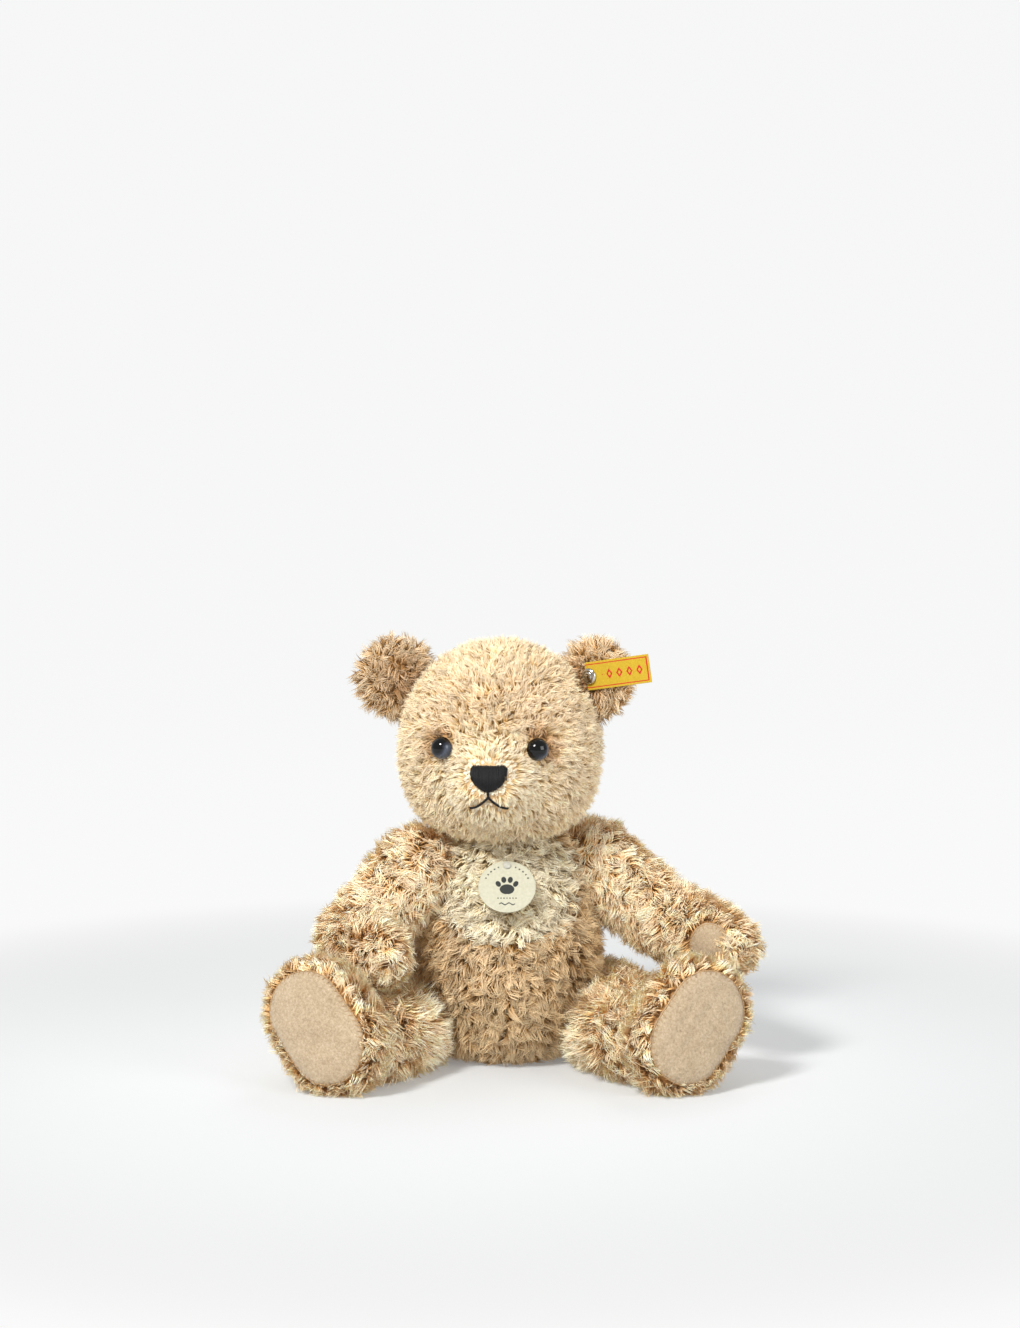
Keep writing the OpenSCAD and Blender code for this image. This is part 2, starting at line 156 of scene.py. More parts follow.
def triangles(me):
    me.calc_loop_triangles()
    t = np.empty(len(me.loop_triangles) * 3, np.int32)
    me.loop_triangles.foreach_get("vertices", t)
    return t.reshape(-1, 3)


def vnormals(co, tri):
    a, b, c = co[tri[:, 0]], co[tri[:, 1]], co[tri[:, 2]]
    fn = np.cross(b - a, c - a)
    n = np.zeros_like(co)
    for k in range(3):
        np.add.at(n, tri[:, k], fn)
    return unit(n)


def set_coords(me, co):
    me.vertices.foreach_set("co", (co * MM).astype(np.float32).ravel())
    me.update()


def evaluated_mesh(ob, name):
    dg = bpy.context.evaluated_depsgraph_get()
    dg.update()
    return bpy.data.meshes.new_from_object(ob.evaluated_get(dg), depsgraph=dg)


def keep_largest(me):
    """Drops every loose part but the one with the largest box."""
    import bmesh
    bm = bmesh.new()
    bm.from_mesh(me)
    bm.verts.ensure_lookup_table()
    seen = np.zeros(len(bm.verts), bool)
    parts = []
    for v in bm.verts:
        if seen[v.index]:
            continue
        stack, part = [v], []
        seen[v.index] = True
        while stack:
            w = stack.pop()
            part.append(w)
            for e in w.link_edges:
                o = e.other_vert(w)
                if not seen[o.index]:
                    seen[o.index] = True
                    stack.append(o)
        parts.append(part)

    def span(part):
        c = np.array([p.co[:] for p in part])
        return float(np.prod(c.max(0) - c.min(0) + 1e-9))

    parts.sort(key=span, reverse=True)
    drop = [v for part in parts[1:] for v in part]
    if drop:
        bmesh.ops.delete(bm, geom=drop, context="VERTS")
    bm.to_mesh(me)
    bm.free()


def smooth_mesh(co, edges, n, lam=0.5, keep=None):
    deg = np.zeros(len(co))
    np.add.at(deg, edges[:, 0], 1)
    np.add.at(deg, edges[:, 1], 1)
    deg = np.maximum(deg, 1)[:, None]
    for _ in range(n):
        s = np.zeros_like(co)
        np.add.at(s, edges[:, 0], co[edges[:, 1]])
        np.add.at(s, edges[:, 1], co[edges[:, 0]])
        step = lam * (s / deg - co)
        if keep is not None:
            step *= keep[:, None]
        co = co + step
    return co


def edges_of(me):
    e = np.empty(len(me.edges) * 2, np.int32)
    me.edges.foreach_get("vertices", e)
    return e.reshape(-1, 2)


def skin(name, sources, voxel, rounds=6):
    """One closed soft surface round the named CAD nodes."""
    vs, fs, base = [], [], 0
    for s in sources:
        me = NODES[s].data
        co = coords(me)
        vs.append(co)
        fs.append(triangles(me) + base)
        base += len(co)
    ob = mesh_from(name + "_src", np.vstack(vs), np.vstack(fs))
    m = ob.modifiers.new("r", "REMESH")
    m.mode = "VOXEL"
    m.voxel_size = voxel * MM
    me = evaluated_mesh(ob, name)
    me.name = name
    bpy.data.objects.remove(ob)
    keep_largest(me)
    out = bpy.data.objects.new(name, me)
    scene.collection.objects.link(out)
    co = smooth_mesh(coords(me), edges_of(me), rounds)
    set_coords(me, co)
    me.polygons.foreach_set("use_smooth", np.ones(len(me.polygons), bool))
    return out


def bvh_of(co, tri):
    return BVHTree.FromPolygons([Vector(v) for v in co], tri.tolist(), all_triangles=True)


def node_bvh(*names):
    vs, fs, base = [], [], 0
    for s in names:
        me = NODES[s].data
        co = coords(me)
        vs.append(co)
        fs.append(triangles(me) + base)
        base += len(co)
    return bvh_of(np.vstack(vs), np.vstack(fs))


def near(tree, pts, limit=60.0):
    """Distance to the tree for each point."""
    out = np.full(len(pts), limit)
    for i, p in enumerate(pts):
        r = tree.find_nearest(Vector(p), limit)
        if r[0] is not None:
            out[i] = r[3]
    return out


def ahead(tree, pts, dirs, limit):
    """Distance along dirs to the tree, or limit."""
    out = np.full(len(pts), limit)
    for i in range(len(pts)):
        r = tree.ray_cast(Vector(pts[i]), Vector(dirs[i]), limit)
        if r[0] is not None:
            out[i] = r[3]
    return out


# --------------------------------------------------------------------------
# soft covers: inflated as cloth over the firm CAD faces
# --------------------------------------------------------------------------
def puff(ob, free, cap, pressure=4.0, frames=20):
    """Cloth under inner pressure. free is 0 where a point is held and 1 where it may move, cap in mm."""
    me = ob.data
    base = coords(me)
    vg = ob.vertex_groups.new(name="pin")
    held = 1.0 - free
    for lo in range(0, 10):
        idx = np.nonzero((held * 10 >= lo) & (held * 10 < lo + 1.0001))[0]
        if len(idx) and lo:
            vg.add(idx.tolist(), lo / 10 + 0.05 if lo < 9 else 1.0, "REPLACE")
    m = ob.modifiers.new("Cloth", "CLOTH")
    s = m.settings
    s.quality = 4
    s.mass = 0.2
    s.tension_stiffness = 12
    s.compression_stiffness = 12
    s.bending_stiffness = 0.4
    s.use_pressure = True
    s.uniform_pressure_force = pressure
    s.vertex_group_mass = "pin"
    s.effector_weights.gravity = 0
    m.collision_settings.use_collision = False
    m.collision_settings.use_self_collision = False
    m.point_cache.frame_start = 1
    m.point_cache.frame_end = frames
    for f in range(1, frames + 1):
        scene.frame_set(f)
    new = evaluated_mesh(ob, "t")
    co = coords(new)
    bpy.data.meshes.remove(new)
    ob.modifiers.remove(m)
    ob.vertex_groups.clear()
    scene.frame_set(1)
    if len(co) != len(base) or not np.isfinite(co).all():
        say("cloth on", ob.name, "left alone")
        return
    d = co - base
    n = np.linalg.norm(d, axis=1, keepdims=True)
    d *= np.minimum(1.0, cap / np.maximum(n, 1e-9)) * free[:, None]
    set_coords(me, base + d)
    say("cloth", ob.name, "moved up to", round(float(np.linalg.norm(d, axis=1).max()), 2), "mm")


# --------------------------------------------------------------------------
# materials
# --------------------------------------------------------------------------
class Mat:
    def __init__(self, name, rough=0.6, spec=0.35, metal=0.0, **kw):
        self.m = bpy.data.materials.new(name)
        self.m.use_nodes = True
        self.t = self.m.node_tree
        self.b = self.t.nodes["Principled BSDF"]
        self.b.inputs["Roughness"].default_value = rough
        self.b.inputs["Specular IOR Level"].default_value = spec
        self.b.inputs["Metallic"].default_value = metal
        for k, v in kw.items():
            self.b.inputs[k].default_value = v

    def node(self, kind, **kw):
        n = self.t.nodes.new(kind)
        for k, v in kw.items():
            setattr(n, k, v)
        return n

    def link(self, a, b):
        self.t.links.new(a, b)

    def coord(self):
        n = self.node("ShaderNodeTexCoord")
        return n.outputs["Object"]

    def noise(self, scale, detail=4.0, rough=0.6, vec=None):
        n = self.node("ShaderNodeTexNoise")
        n.inputs["Scale"].default_value = scale
        n.inputs["Detail"].default_value = detail
        n.inputs["Roughness"].default_value = rough
        self.link(vec if vec is not None else self.coord(), n.inputs["Vector"])
        return n.outputs["Fac"]

    def ramp(self, fac, stops):
        n = self.node("ShaderNodeValToRGB")
        el = n.color_ramp.elements
        while len(el) > 1:
            el.remove(el[-1])
        el[0].position = stops[0][0]
        el[0].color = (*stops[0][1], 1)
        for p, c in stops[1:]:
            e = el.new(p)
            e.color = (*c, 1)
        self.link(fac, n.inputs["Fac"])
        return n.outputs["Color"]

    def base(self, col):
        self.link(col, self.b.inputs["Base Color"])

    def bump(self, fac, strength=0.3, dist=0.0002):
        n = self.node("ShaderNodeBump")
        n.inputs["Strength"].default_value = strength
        n.inputs["Distance"].default_value = dist
        self.link(fac, n.inputs["Height"])
        self.link(n.outputs["Normal"], self.b.inputs["Normal"])


def noise_mat(name, c1, c2, scale, rough=0.6, spec=0.35, metal=0.0, bump=0.0, detail=4.0, lo=0.35, hi=0.65, **kw):
    m = Mat(name, rough, spec, metal, **kw)
    f = m.noise(scale, detail)
    m.base(m.ramp(f, [(lo, tuple(lin(*c1))), (hi, tuple(lin(*c2)))]))
    if bump:
        m.bump(f, bump)
    return m.m


def attr_mat(name, attr, rough, spec, **kw):
    m = Mat(name, rough, spec, **kw)
    n = m.node("ShaderNodeAttribute", attribute_name=attr)
    m.base(n.outputs["Color"])
    return m.m


M = {}
# The fibres carry a faint constant warm emission: a painted glow standing in for light bounced between the strands.
M["pile"] = attr_mat("pile_fibres", "Col", 0.36, 0.55, **{"Sheen Weight": 0.05, "Sheen Roughness": 0.5, "Emission Color": (1.0, 0.64, 0.30, 1), "Emission Strength": 0.02})


def backing_mat():
    m = Mat("plush_backing", 0.9, 0.1)
    f = m.noise(900, 5)
    at = m.node("ShaderNodeAttribute", attribute_name="Under")
    mix = m.node("ShaderNodeMix", data_type="RGBA", blend_type="MULTIPLY")
    mix.inputs["Factor"].default_value = 1.0
    m.link(at.outputs["Color"], mix.inputs["A"])
    m.link(m.ramp(f, [(0.3, (0.7, 0.66, 0.6)), (0.7, (1.05, 1.05, 1.05))]), mix.inputs["B"])
    m.base(mix.outputs["Result"])
    m.bump(f, 0.6)
    return m.m


M["backing"] = backing_mat()
M["steel"] = noise_mat("joint_steel", (120, 122, 126), (170, 172, 176), 2500, 0.32, 0.5, 1.0)
M["board"] = noise_mat("hardboard", (92, 62, 38), (140, 102, 66), 1400, 0.8, 0.2, bump=0.3)
M["washer"] = noise_mat("washer_plastic", (205, 205, 200), (228, 228, 224), 700, 0.45, 0.4)
M["fibre"] = noise_mat("stuffing_fibre", (214, 212, 206), (246, 245, 240), 1200, 0.95, 0.1, bump=0.8)
M["nylon"] = noise_mat("nylon", (176, 176, 166), (196, 195, 184), 900, 0.3, 0.5)
M["thread"] = noise_mat("seam_thread", (150, 108, 64), (192, 150, 100), 3500, 0.7, 0.3, bump=0.4)
M["black_thread"] = noise_mat("face_thread", (5, 5, 7), (20, 20, 24), 4200, 0.6, 0.3, bump=0.5, **{"Sheen Weight": 0.05})


def eye_mat():
    m = Mat("eye_gloss", 0.12, 0.15, 0.0, **{"Coat Weight": 0.55, "Coat Roughness": 0.03})
    # The crescent attribute ramps the dome from black to grey-blue: a painted reflection on the eye.
    n = m.node("ShaderNodeAttribute", attribute_name="reflection_crescent")
    f = m.noise(900, 3)
    mix = m.node("ShaderNodeMath", operation="MULTIPLY_ADD")
    m.link(f, mix.inputs[0])
    mix.inputs[1].default_value = 0.08
    m.link(n.outputs["Fac"], mix.inputs[2])
    m.base(m.ramp(mix.outputs[0], [(0.0, tuple(lin(4, 4, 5))), (0.3, tuple(lin(10, 11, 14))), (0.75, tuple(lin(42, 47, 58))), (1.0, tuple(lin(74, 81, 94)))]))
    return m.m


M["eye"] = eye_mat()


def pad_mat():
    m = Mat("pad_velour", 0.85, 0.15, 0.0, **{"Sheen Weight": 0.35, "Sheen Roughness": 0.6})
    f1 = m.noise(760, 5, 0.8)
    f2 = m.noise(3200, 3, 0.6)
    f3 = m.noise(110, 3, 0.5)
    a = m.node("ShaderNodeMath", operation="MULTIPLY_ADD")
    m.link(f2, a.inputs[0])
    a.inputs[1].default_value = 0.6
    m.link(f1, a.inputs[2])
    b = m.node("ShaderNodeMath", operation="MULTIPLY_ADD")
    m.link(f3, b.inputs[0])
    b.inputs[1].default_value = 0.22
    m.link(a.outputs[0], b.inputs[2])
    d = m.node("ShaderNodeMath", operation="DIVIDE")
    m.link(b.outputs[0], d.inputs[0])
    d.inputs[1].default_value = 1.82
    m.base(m.ramp(d.outputs[0], [(0.36, tuple(lin(148, 126, 96))), (0.5, tuple(lin(186, 164, 134))), (0.64, tuple(lin(214, 196, 168)))]))
    m.bump(a.outputs[0], 0.7, 0.0006)
    return m.m


M["pad"] = pad_mat()

INNER = {
    "stuffing": ("fibre", "stuffing"), "_disc": ("board", "hardboard"), "_bolt": ("steel", "joint_steel"),
    "_locknut": ("steel", "joint_steel"), "washers": ("steel", "joint_steel"), "eye_washer": ("washer", "washer_plastic"),
    "backplate": ("steel", "button_metal"), "tag_fastener": ("nylon", "nylon"), "back_seam": ("thread", "seam_thread"),
}
for n, ob in NODES.items():
    for key, (mat, slot) in INNER.items():
        if key in n:
            ob.data.materials.clear()
            ob.data.materials.append(M[mat])

# --------------------------------------------------------------------------
# covers
# --------------------------------------------------------------------------
say("covers")
V = 3.0
SKINS = {
    "torso": skin("torso_cover", ["torso_shell", "torso_stuffing", "chest_bib"], V),
    "head": skin("head_cover", ["head_shell", "head_stuffing"], V),
    "left_arm": skin("left_arm_cover", ["left_arm_shell", "left_arm_stuffing"], V),
    "right_arm": skin("right_arm_cover", ["right_arm_shell", "right_arm_stuffing"], V),
    "left_leg": skin("left_leg_cover", ["left_leg_shell", "left_leg_stuffing"], V),
    "right_leg": skin("right_leg_cover", ["right_leg_shell", "right_leg_stuffing"], V),
    "left_ear": skin("left_ear_cover", ["left_ear"], 1.6, 4),
    "right_ear": skin("right_ear_cover", ["right_ear"], 1.6, 4),
}
RIDES = {k: k for k in SKINS}
RIDES["left_ear"] = RIDES["right_ear"] = "head"
STANDS = {
    "torso": ["torso_shell"], "head": ["head_shell"], "left_arm": ["left_arm_shell"], "right_arm": ["right_arm_shell"],
    "left_leg": ["left_leg_shell"], "right_leg": ["right_leg_shell"], "left_ear": ["left_ear"], "right_ear": ["right_ear"],
}
PADS = {
    "left_arm": "left_paw_pad", "right_arm": "right_paw_pad", "left_leg": "left_foot_pad", "right_leg": "right_foot_pad",
}
PAD_TREE = {k: node_bvh(n) for k, n in PADS.items()}
BODY_NODES = {
    "torso": ["torso_shell", "chest_bib"], "head": ["head_shell"], "left_arm": ["left_arm_shell", "left_paw_pad"],
    "right_arm": ["right_arm_shell", "right_paw_pad"], "left_leg": ["left_leg_shell", "left_foot_pad"],
    "right_leg": ["right_leg_shell", "right_foot_pad"],
}
TREES = {k: node_bvh(*v) for k, v in BODY_NODES.items()}
JOINED = {"torso": ["head", "left_arm", "right_arm", "left_leg", "right_leg"], "head": ["torso"], "left_arm": ["torso"],
          "right_arm": ["torso"], "left_leg": ["torso"], "right_leg": ["torso"]}
SINK = 2.0  # how far the cloth backing lies under the firm face
for key, ob in SKINS.items():
    me = ob.data
    co, tri = coords(me), triangles(me)
    nor = vnormals(co, tri)
    free = np.ones(len(co))
    if key in JOINED:
        d = np.min([near(TREES[o], co, 8.0) for o in JOINED[key]], axis=0)
        free *= smoothstep(2.0, 7.0, d)
    if key in PAD_TREE:
        d = near(PAD_TREE[key], co, 8.0)
        free *= smoothstep(0.8, 5.0, d)
    free *= smoothstep(0.5, 4.0, co[:, 2])
    if key == "head":
        loc = xf(HEAD_I, co)
        for s in (1, -1):
            free *= smoothstep(6.5, 10, np.linalg.norm(loc - EYE_P[s], axis=1))
        free *= np.where(loc[:, 1] < -50, smoothstep(11, 16, np.linalg.norm(loc - np.array([0, -60, 151.0]), axis=1)), 1)
    if key == "torso":
        free *= np.where(co[:, 1] > 0, smoothstep(4, 8, np.abs(co[:, 0])), 1)
    set_coords(me, co - nor * (SINK * free)[:, None])
    puff(ob, free, 1.2)
    under = np.tile(lin(196, 148, 94), (len(co), 1))
    if key == "head":
        dm = np.linalg.norm((loc - np.array([0, -50, 150.0])) * np.array([0.8, 0.8, 0.9]), axis=1)
        w = (1 - smoothstep(20, 32, dm))[:, None]
        under = under * (1 - w) + lin(228, 194, 148) * w
    if key == "torso":
        w = ((co[:, 1] < -8) & (co[:, 2] > 66) & (np.abs(co[:, 0]) < 31)).astype(float)[:, None]
        under = under * (1 - w) + lin(226, 212, 176) * w
    rgba = np.ones((len(co), 4), np.float32)
    rgba[:, :3] = under
    ca = ob.data.color_attributes.new("Under", "FLOAT_COLOR", "POINT")
    ca.data.foreach_set("color", rgba.ravel())
    ob.data.materials.append(M["backing"])
    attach(ob, RIDES[key])
    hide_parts(*STANDS[key])
say("covers done", {k: len(o.data.vertices) for k, o in SKINS.items()})

# --------------------------------------------------------------------------
# pile
# --------------------------------------------------------------------------
WAVES = None


def field(p, seed, scale, n=5):
    """Smooth pseudo-random field in about -1..1."""
    r = np.random.default_rng(seed)
    k = unit(r.normal(size=(n, 3))) * (2 * math.pi / scale) * r.uniform(0.6, 1.6, (n, 1))
    ph = r.uniform(0, 2 * math.pi, n)
    return np.sin(p @ k.T + ph).sum(1) / math.sqrt(n) * 0.9


def sample(ob, per_mm2, rng):
    co, tri = coords(ob.data), triangles(ob.data)
    nor = vnormals(co, tri)
    a, b, c = co[tri[:, 0]], co[tri[:, 1]], co[tri[:, 2]]
    area = 0.5 * np.linalg.norm(np.cross(b - a, c - a), axis=1)
    n = int(area.sum() * per_mm2)
    cdf = np.cumsum(area) / area.sum()
    # stratified along the cumulative area, for an even cover
    u = (np.arange(n) + rng.random(n)) / n
    i = np.searchsorted(cdf, u)
    i = np.minimum(i, len(tri) - 1)
    r1, r2 = np.sqrt(rng.random(n))[:, None], rng.random(n)[:, None]
    w = (1 - r1, r1 * (1 - r2), r1 * r2)
    p = w[0] * a[i] + w[1] * b[i] + w[2] * c[i]
    nn = unit(w[0] * nor[tri[i, 0]] + w[1] * nor[tri[i, 1]] + w[2] * nor[tri[i, 2]])
    return p, nn, float(area.sum())


def tangent(v, n):
    v = v - (v * n).sum(-1, keepdims=True) * n
    return unit(v)


def turn(v, n, ang):
    """Turns tangent v about n by ang radians."""
    c, s = np.cos(ang)[:, None], np.sin(ang)[:, None]
    return v * c + np.cross(n, v) * s


def build_pile(name, body, T, rng, max_strands=21000, stands=(), width=0.58):
    """T: dict of per-tuft arrays: p, n, c (comb), L, k (strands), rad, root, tip, lean0, lean1, wave, clump."""
    cnt = T["k"].astype(int)
    idx = np.repeat(np.arange(len(cnt)), cnt)
    N = len(idx)
    if N == 0:
        return []
    P, NN, C = T["p"][idx], T["n"][idx], T["c"][idx]
    B = np.cross(NN, C)
    rad = T["rad"][idx]
    rr, ra = np.sqrt(rng.random(N)) * rad, rng.uniform(0, 2 * math.pi, N)
    u, v = rr * np.cos(ra), rr * np.sin(ra)
    curve = T["curve"][idx]
    off = C * u[:, None] + B * v[:, None]
    root = P + off - NN * ((u * u + v * v) / (2 * curve) + 0.6)[:, None]
    # the normal fans out a little across a tuft
    n_loc = unit(NN + off / curve[:, None])
    ang = rng.normal(0, 0.09, N)
    C2 = turn(tangent(C, n_loc), n_loc, ang)
    B2 = np.cross(n_loc, C2)
    L = T["L"][idx] * rng.uniform(0.78, 1.06, N)
    th0 = T["lean0"][idx] + rng.normal(0, 0.07, N)
    th1 = T["lean1"][idx] + rng.normal(0, 0.10, N)
    S = 5
    bend = T["bend"][idx] + rng.normal(0, 0.10, N)
    ts = np.linspace(0, 1, S + 1)
    ph = T["phase"][idx] + rng.normal(0, 0.20, N)
    wav = T["wave"][idx]
    cl = T["clump"][idx]
    fr = T["freq"][idx]
    frizz = rng.normal(0, 1, (N, 3)) * T["frizz"][idx][:, None]
    pts = np.empty((S + 1, N, 3))
    pos = root.copy()
    pts[0] = pos
    for s in range(1, S + 1):
        t = (ts[s] + ts[s - 1]) / 2
        th = th0 + (th1 - th0) * t
        C2 = turn(C2, n_loc, bend / S)
        pos = pos + (n_loc * np.cos(th)[:, None] + C2 * np.sin(th)[:, None]) * (L / S)[:, None]
        tt = ts[s]
        w = wav * (np.sin(ph + fr * tt * 2 * math.pi) - np.sin(ph)) * tt
        pull = cl * tt ** 1.1
        pts[s] = pos + B2 * w[:, None] - off * pull[:, None] + frizz * (tt * tt)
    # floor
    low = 0.25 + 0.35 * rng.random(N)
    pts[..., 2] = np.maximum(pts[..., 2], low[None, :])
    for f in T.get("push", ()):  # flat things that the pile lies behind
        f(pts)
    W0 = width * rng.uniform(0.75, 1.2, N) * T["thick"][idx]
    prof = np.array([0.8, 1.0, 0.95, 0.8, 0.5, 0.0])
    tan = np.empty_like(pts)
    tan[1:-1] = pts[2:] - pts[:-2]
    tan[0] = pts[1] - pts[0]
    tan[-1] = pts[-1] - pts[-2]
    tan = unit(tan)
    roll = rng.normal(0, 0.45, N)
    side = np.cross(tan, n_loc[None])
    side = unit(side + 1e-6 * B2[None])
    up = np.cross(side, tan)
    cr, sr = np.cos(roll)[None, :, None], np.sin(roll)[None, :, None]
    side, up = side * cr + up * sr, up * cr - side * sr
    rows = 2 * S + 1
    vert = np.empty((N, rows, 3))
    vn = np.empty((N, rows, 3))
    for s in range(S):
        hw = (W0 * prof[s] / 2)[:, None]
        vert[:, 2 * s] = pts[s] - side[s] * hw
        vert[:, 2 * s + 1] = pts[s] + side[s] * hw
        nb = unit(up[s] * 0.75 + n_loc * 0.55)
        vn[:, 2 * s] = unit(nb - side[s] * 0.45)
        vn[:, 2 * s + 1] = unit(nb + side[s] * 0.45)
    vert[:, -1] = pts[S]
    vn[:, -1] = unit(up[S] * 0.75 + n_loc * 0.55)
    # colour from root to tip; the deep-toned root end is painted shade deep in the pile
    shade = T["shade"][idx] * rng.uniform(0.86, 1.12, N)
    croot, cmid, ctip = T["root"][idx], T["mid"][idx], T["tip"][idx]
    tcol = np.array([0.0, 0.0, 0.25, 0.25, 0.95, 0.95, 1.35, 1.35, 1.75, 1.75, 2.0])
    tr = np.clip(1 - tcol, 0, 1)[None, :, None]
    tt_ = np.clip(tcol - 1, 0, 1)[None, :, None]
    tm = 1 - tr - tt_
    col = croot[:, None, :] * tr + cmid[:, None, :] * tm + ctip[:, None, :] * tt_
    col = np.clip(col * shade[:, None, None], 0, 0.97)
    loc_f = []
    for s in range(S - 1):
        loc_f.append([2 * s, 2 * s + 1, 2 * s + 3, 2 * s + 2])
    quads = np.array(loc_f)
    tri = np.array([[2 * S - 2, 2 * S - 1, 2 * S]])
    made = []
    parts = max(1, int(math.ceil(N / max_strands)))
    # parts are contiguous in space along the piece's longest side
    span = P.max(0) - P.min(0)
    order = np.argsort(P[:, int(np.argmax(span))], kind="stable")
    for q, sel in enumerate(np.array_split(order, parts)):
        n = len(sel)
        me = bpy.data.meshes.new(f"{name}_{q + 1}" if parts > 1 else name)
        vv = vert[sel].reshape(-1, 3)
        base = (np.arange(n) * rows)[:, None, None]
        qi = (quads[None] + base).reshape(-1)
        ti = (tri[None] + base).reshape(-1)
        nq, nt = n * len(quads), n
        me.vertices.add(len(vv))
        me.vertices.foreach_set("co", (vv * MM).astype(np.float32).ravel())
        me.loops.add(len(qi) + len(ti))
        me.loops.foreach_set("vertex_index", np.concatenate([qi, ti]).astype(np.int32))
        me.polygons.add(nq + nt)
        starts = np.concatenate([np.arange(nq) * 4, nq * 4 + np.arange(nt) * 3]).astype(np.int32)
        me.polygons.foreach_set("loop_start", starts)
        me.polygons.foreach_set("use_smooth", np.ones(nq + nt, bool))
        me.update(calc_edges=True)
        at = me.color_attributes.new("Col", "FLOAT_COLOR", "POINT")
        rgba = np.ones((len(vv), 4), np.float32)
        rgba[:, :3] = col[sel].reshape(-1, 3)
        at.data.foreach_set("color", rgba.ravel())
        # one cell of the sheet for each strand
        g = int(math.ceil(math.sqrt(n)))
        cx, cy = (np.arange(n) % g) / g, (np.arange(n) // g) / g
        lu = np.array([0.2, 0.8] * S + [0.5])
        lv = np.array([0.1, 0.1, 0.27, 0.27, 0.44, 0.44, 0.61, 0.61, 0.78, 0.78, 0.92])
        uvv = np.stack([cx[:, None] + lu[None] / g, cy[:, None] + lv[None] / g], -1).reshape(-1, 2)
        uv = me.uv_layers.new(name="OFBake")
        li = np.concatenate([qi, ti])
        uv.data.foreach_set("uv", uvv[li].astype(np.float32).ravel())
        nrm = vn[sel].reshape(-1, 3).astype(np.float32)
        me.normals_split_custom_set_from_vertices(nrm)
        me.materials.append(M["pile"])
        ob = bpy.data.objects.new(me.name, me)
        scene.collection.objects.link(ob)
        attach(ob, body)
        made.append(ob)
    if stands:
        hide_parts(*stands)
    say(name, N, "strands in", len(made))
    return made


def behind_plane(c, n, up, test, gap):
    """Keeps the pile behind a flat thing: c on its back face, n its outward normal, test(x, y) its outline in its own plane."""
    c, n, up = np.asarray(c, float), unit(n), unit(up)
    right = np.cross(up, n)

    def f(pts):
        d = pts - c
        h = d @ n
        x, y = d @ right, d @ up
        m = test(x, y) & (h > -gap) & (h < 12)
        ahead_of = h[0] > -gap
        push = m & ~ahead_of[None] & (h < 7)
        pts -= np.where(push, h + gap, 0.0)[..., None] * n
        # a strand rooted in front of the plane stops short of the thing
        stop = np.zeros(pts.shape[1], bool)
        for i in range(1, len(pts)):
            stop |= m[i] & ahead_of
            pts[i] = np.where(stop[:, None], pts[i - 1] + (pts[i] - pts[i - 1]) * 0.04, pts[i])
    return f


# Root colours run far darker than the tips: painted shade deep in the pile, over a slight two-tone of the fibre.
HONEY_TIP, HONEY_MID, HONEY_ROOT_SHADED = lin(255, 238, 206), lin(224, 174, 106), lin(96, 54, 14)
CREAM_TIP, CREAM_MID, CREAM_ROOT_SHADED = lin(254, 245, 220), lin(234, 214, 170), lin(134, 96, 50)
MUZ_TIP, MUZ_MID, MUZ_ROOT_SHADED = lin(254, 243, 218), lin(244, 219, 170), lin(208, 166, 100)
HEAD_TIP, HEAD_MID, HEAD_ROOT_SHADED = lin(255, 238, 208), lin(226, 189, 122), lin(142, 92, 28)

LIMB_PATH = {
    "left_arm": np.array([[46, 12.1, 99], [80, 0, 72], [112, -38, 64], [119, -46.4, 62.2]]),
    "right_arm": np.array([[-46, 5, 99], [-77, -26, 65], [-64, -56.5, 62], [-59.6, -67, 61]]),
    "left_leg": np.array([[52, 9, 25], [72, -38, 21], [89, -84, 32], [94, -96, 34]]),
    "right_leg": np.array([[-52, 9, 25], [-72, -38, 21], [-89, -84, 32], [-94, -96, 34]]),
}


def path_dir(path, p):
    best = np.full(len(p), 1e9)
    out = np.zeros_like(p)
    for a, b in zip(path[:-1], path[1:]):
        ab = b - a
        t = np.clip(((p - a) @ ab) / (ab @ ab), 0, 1)
        d = np.linalg.norm(p - (a + t[:, None] * ab), axis=1)
        m = d < best
        best[m] = d[m]
        out[m] = unit(ab)
    return unit(out)


def in_poly(x, y, poly, grow=0.0):
    c = poly.mean(0)
    q = c + (poly - c) * (1 + grow / np.linalg.norm(poly - c, axis=1, keepdims=True))
    inside = np.zeros(x.shape, bool)
    j = len(q) - 1
    for i in range(len(q)):
        xi, yi, xj, yj = q[i, 0], q[i, 1], q[j, 0], q[j, 1]
        hit = ((yi > y) != (yj > y)) & (x < (xj - xi) * (y - yi) / (yj - yi + 1e-12) + xi)
        inside ^= hit
        j = i
    return inside


# Per-part brightness of the fibre colour: painted light and shade, darker on the shaded torso and ears, lighter on the
# lit arms and legs.
PART_LIGHT_SHADE = {"torso": 0.80, "head": 0.97, "left_arm": 1.12, "right_arm": 1.13, "left_leg": 1.18, "right_leg": 1.18, "left_ear": 0.86, "right_ear": 0.80}


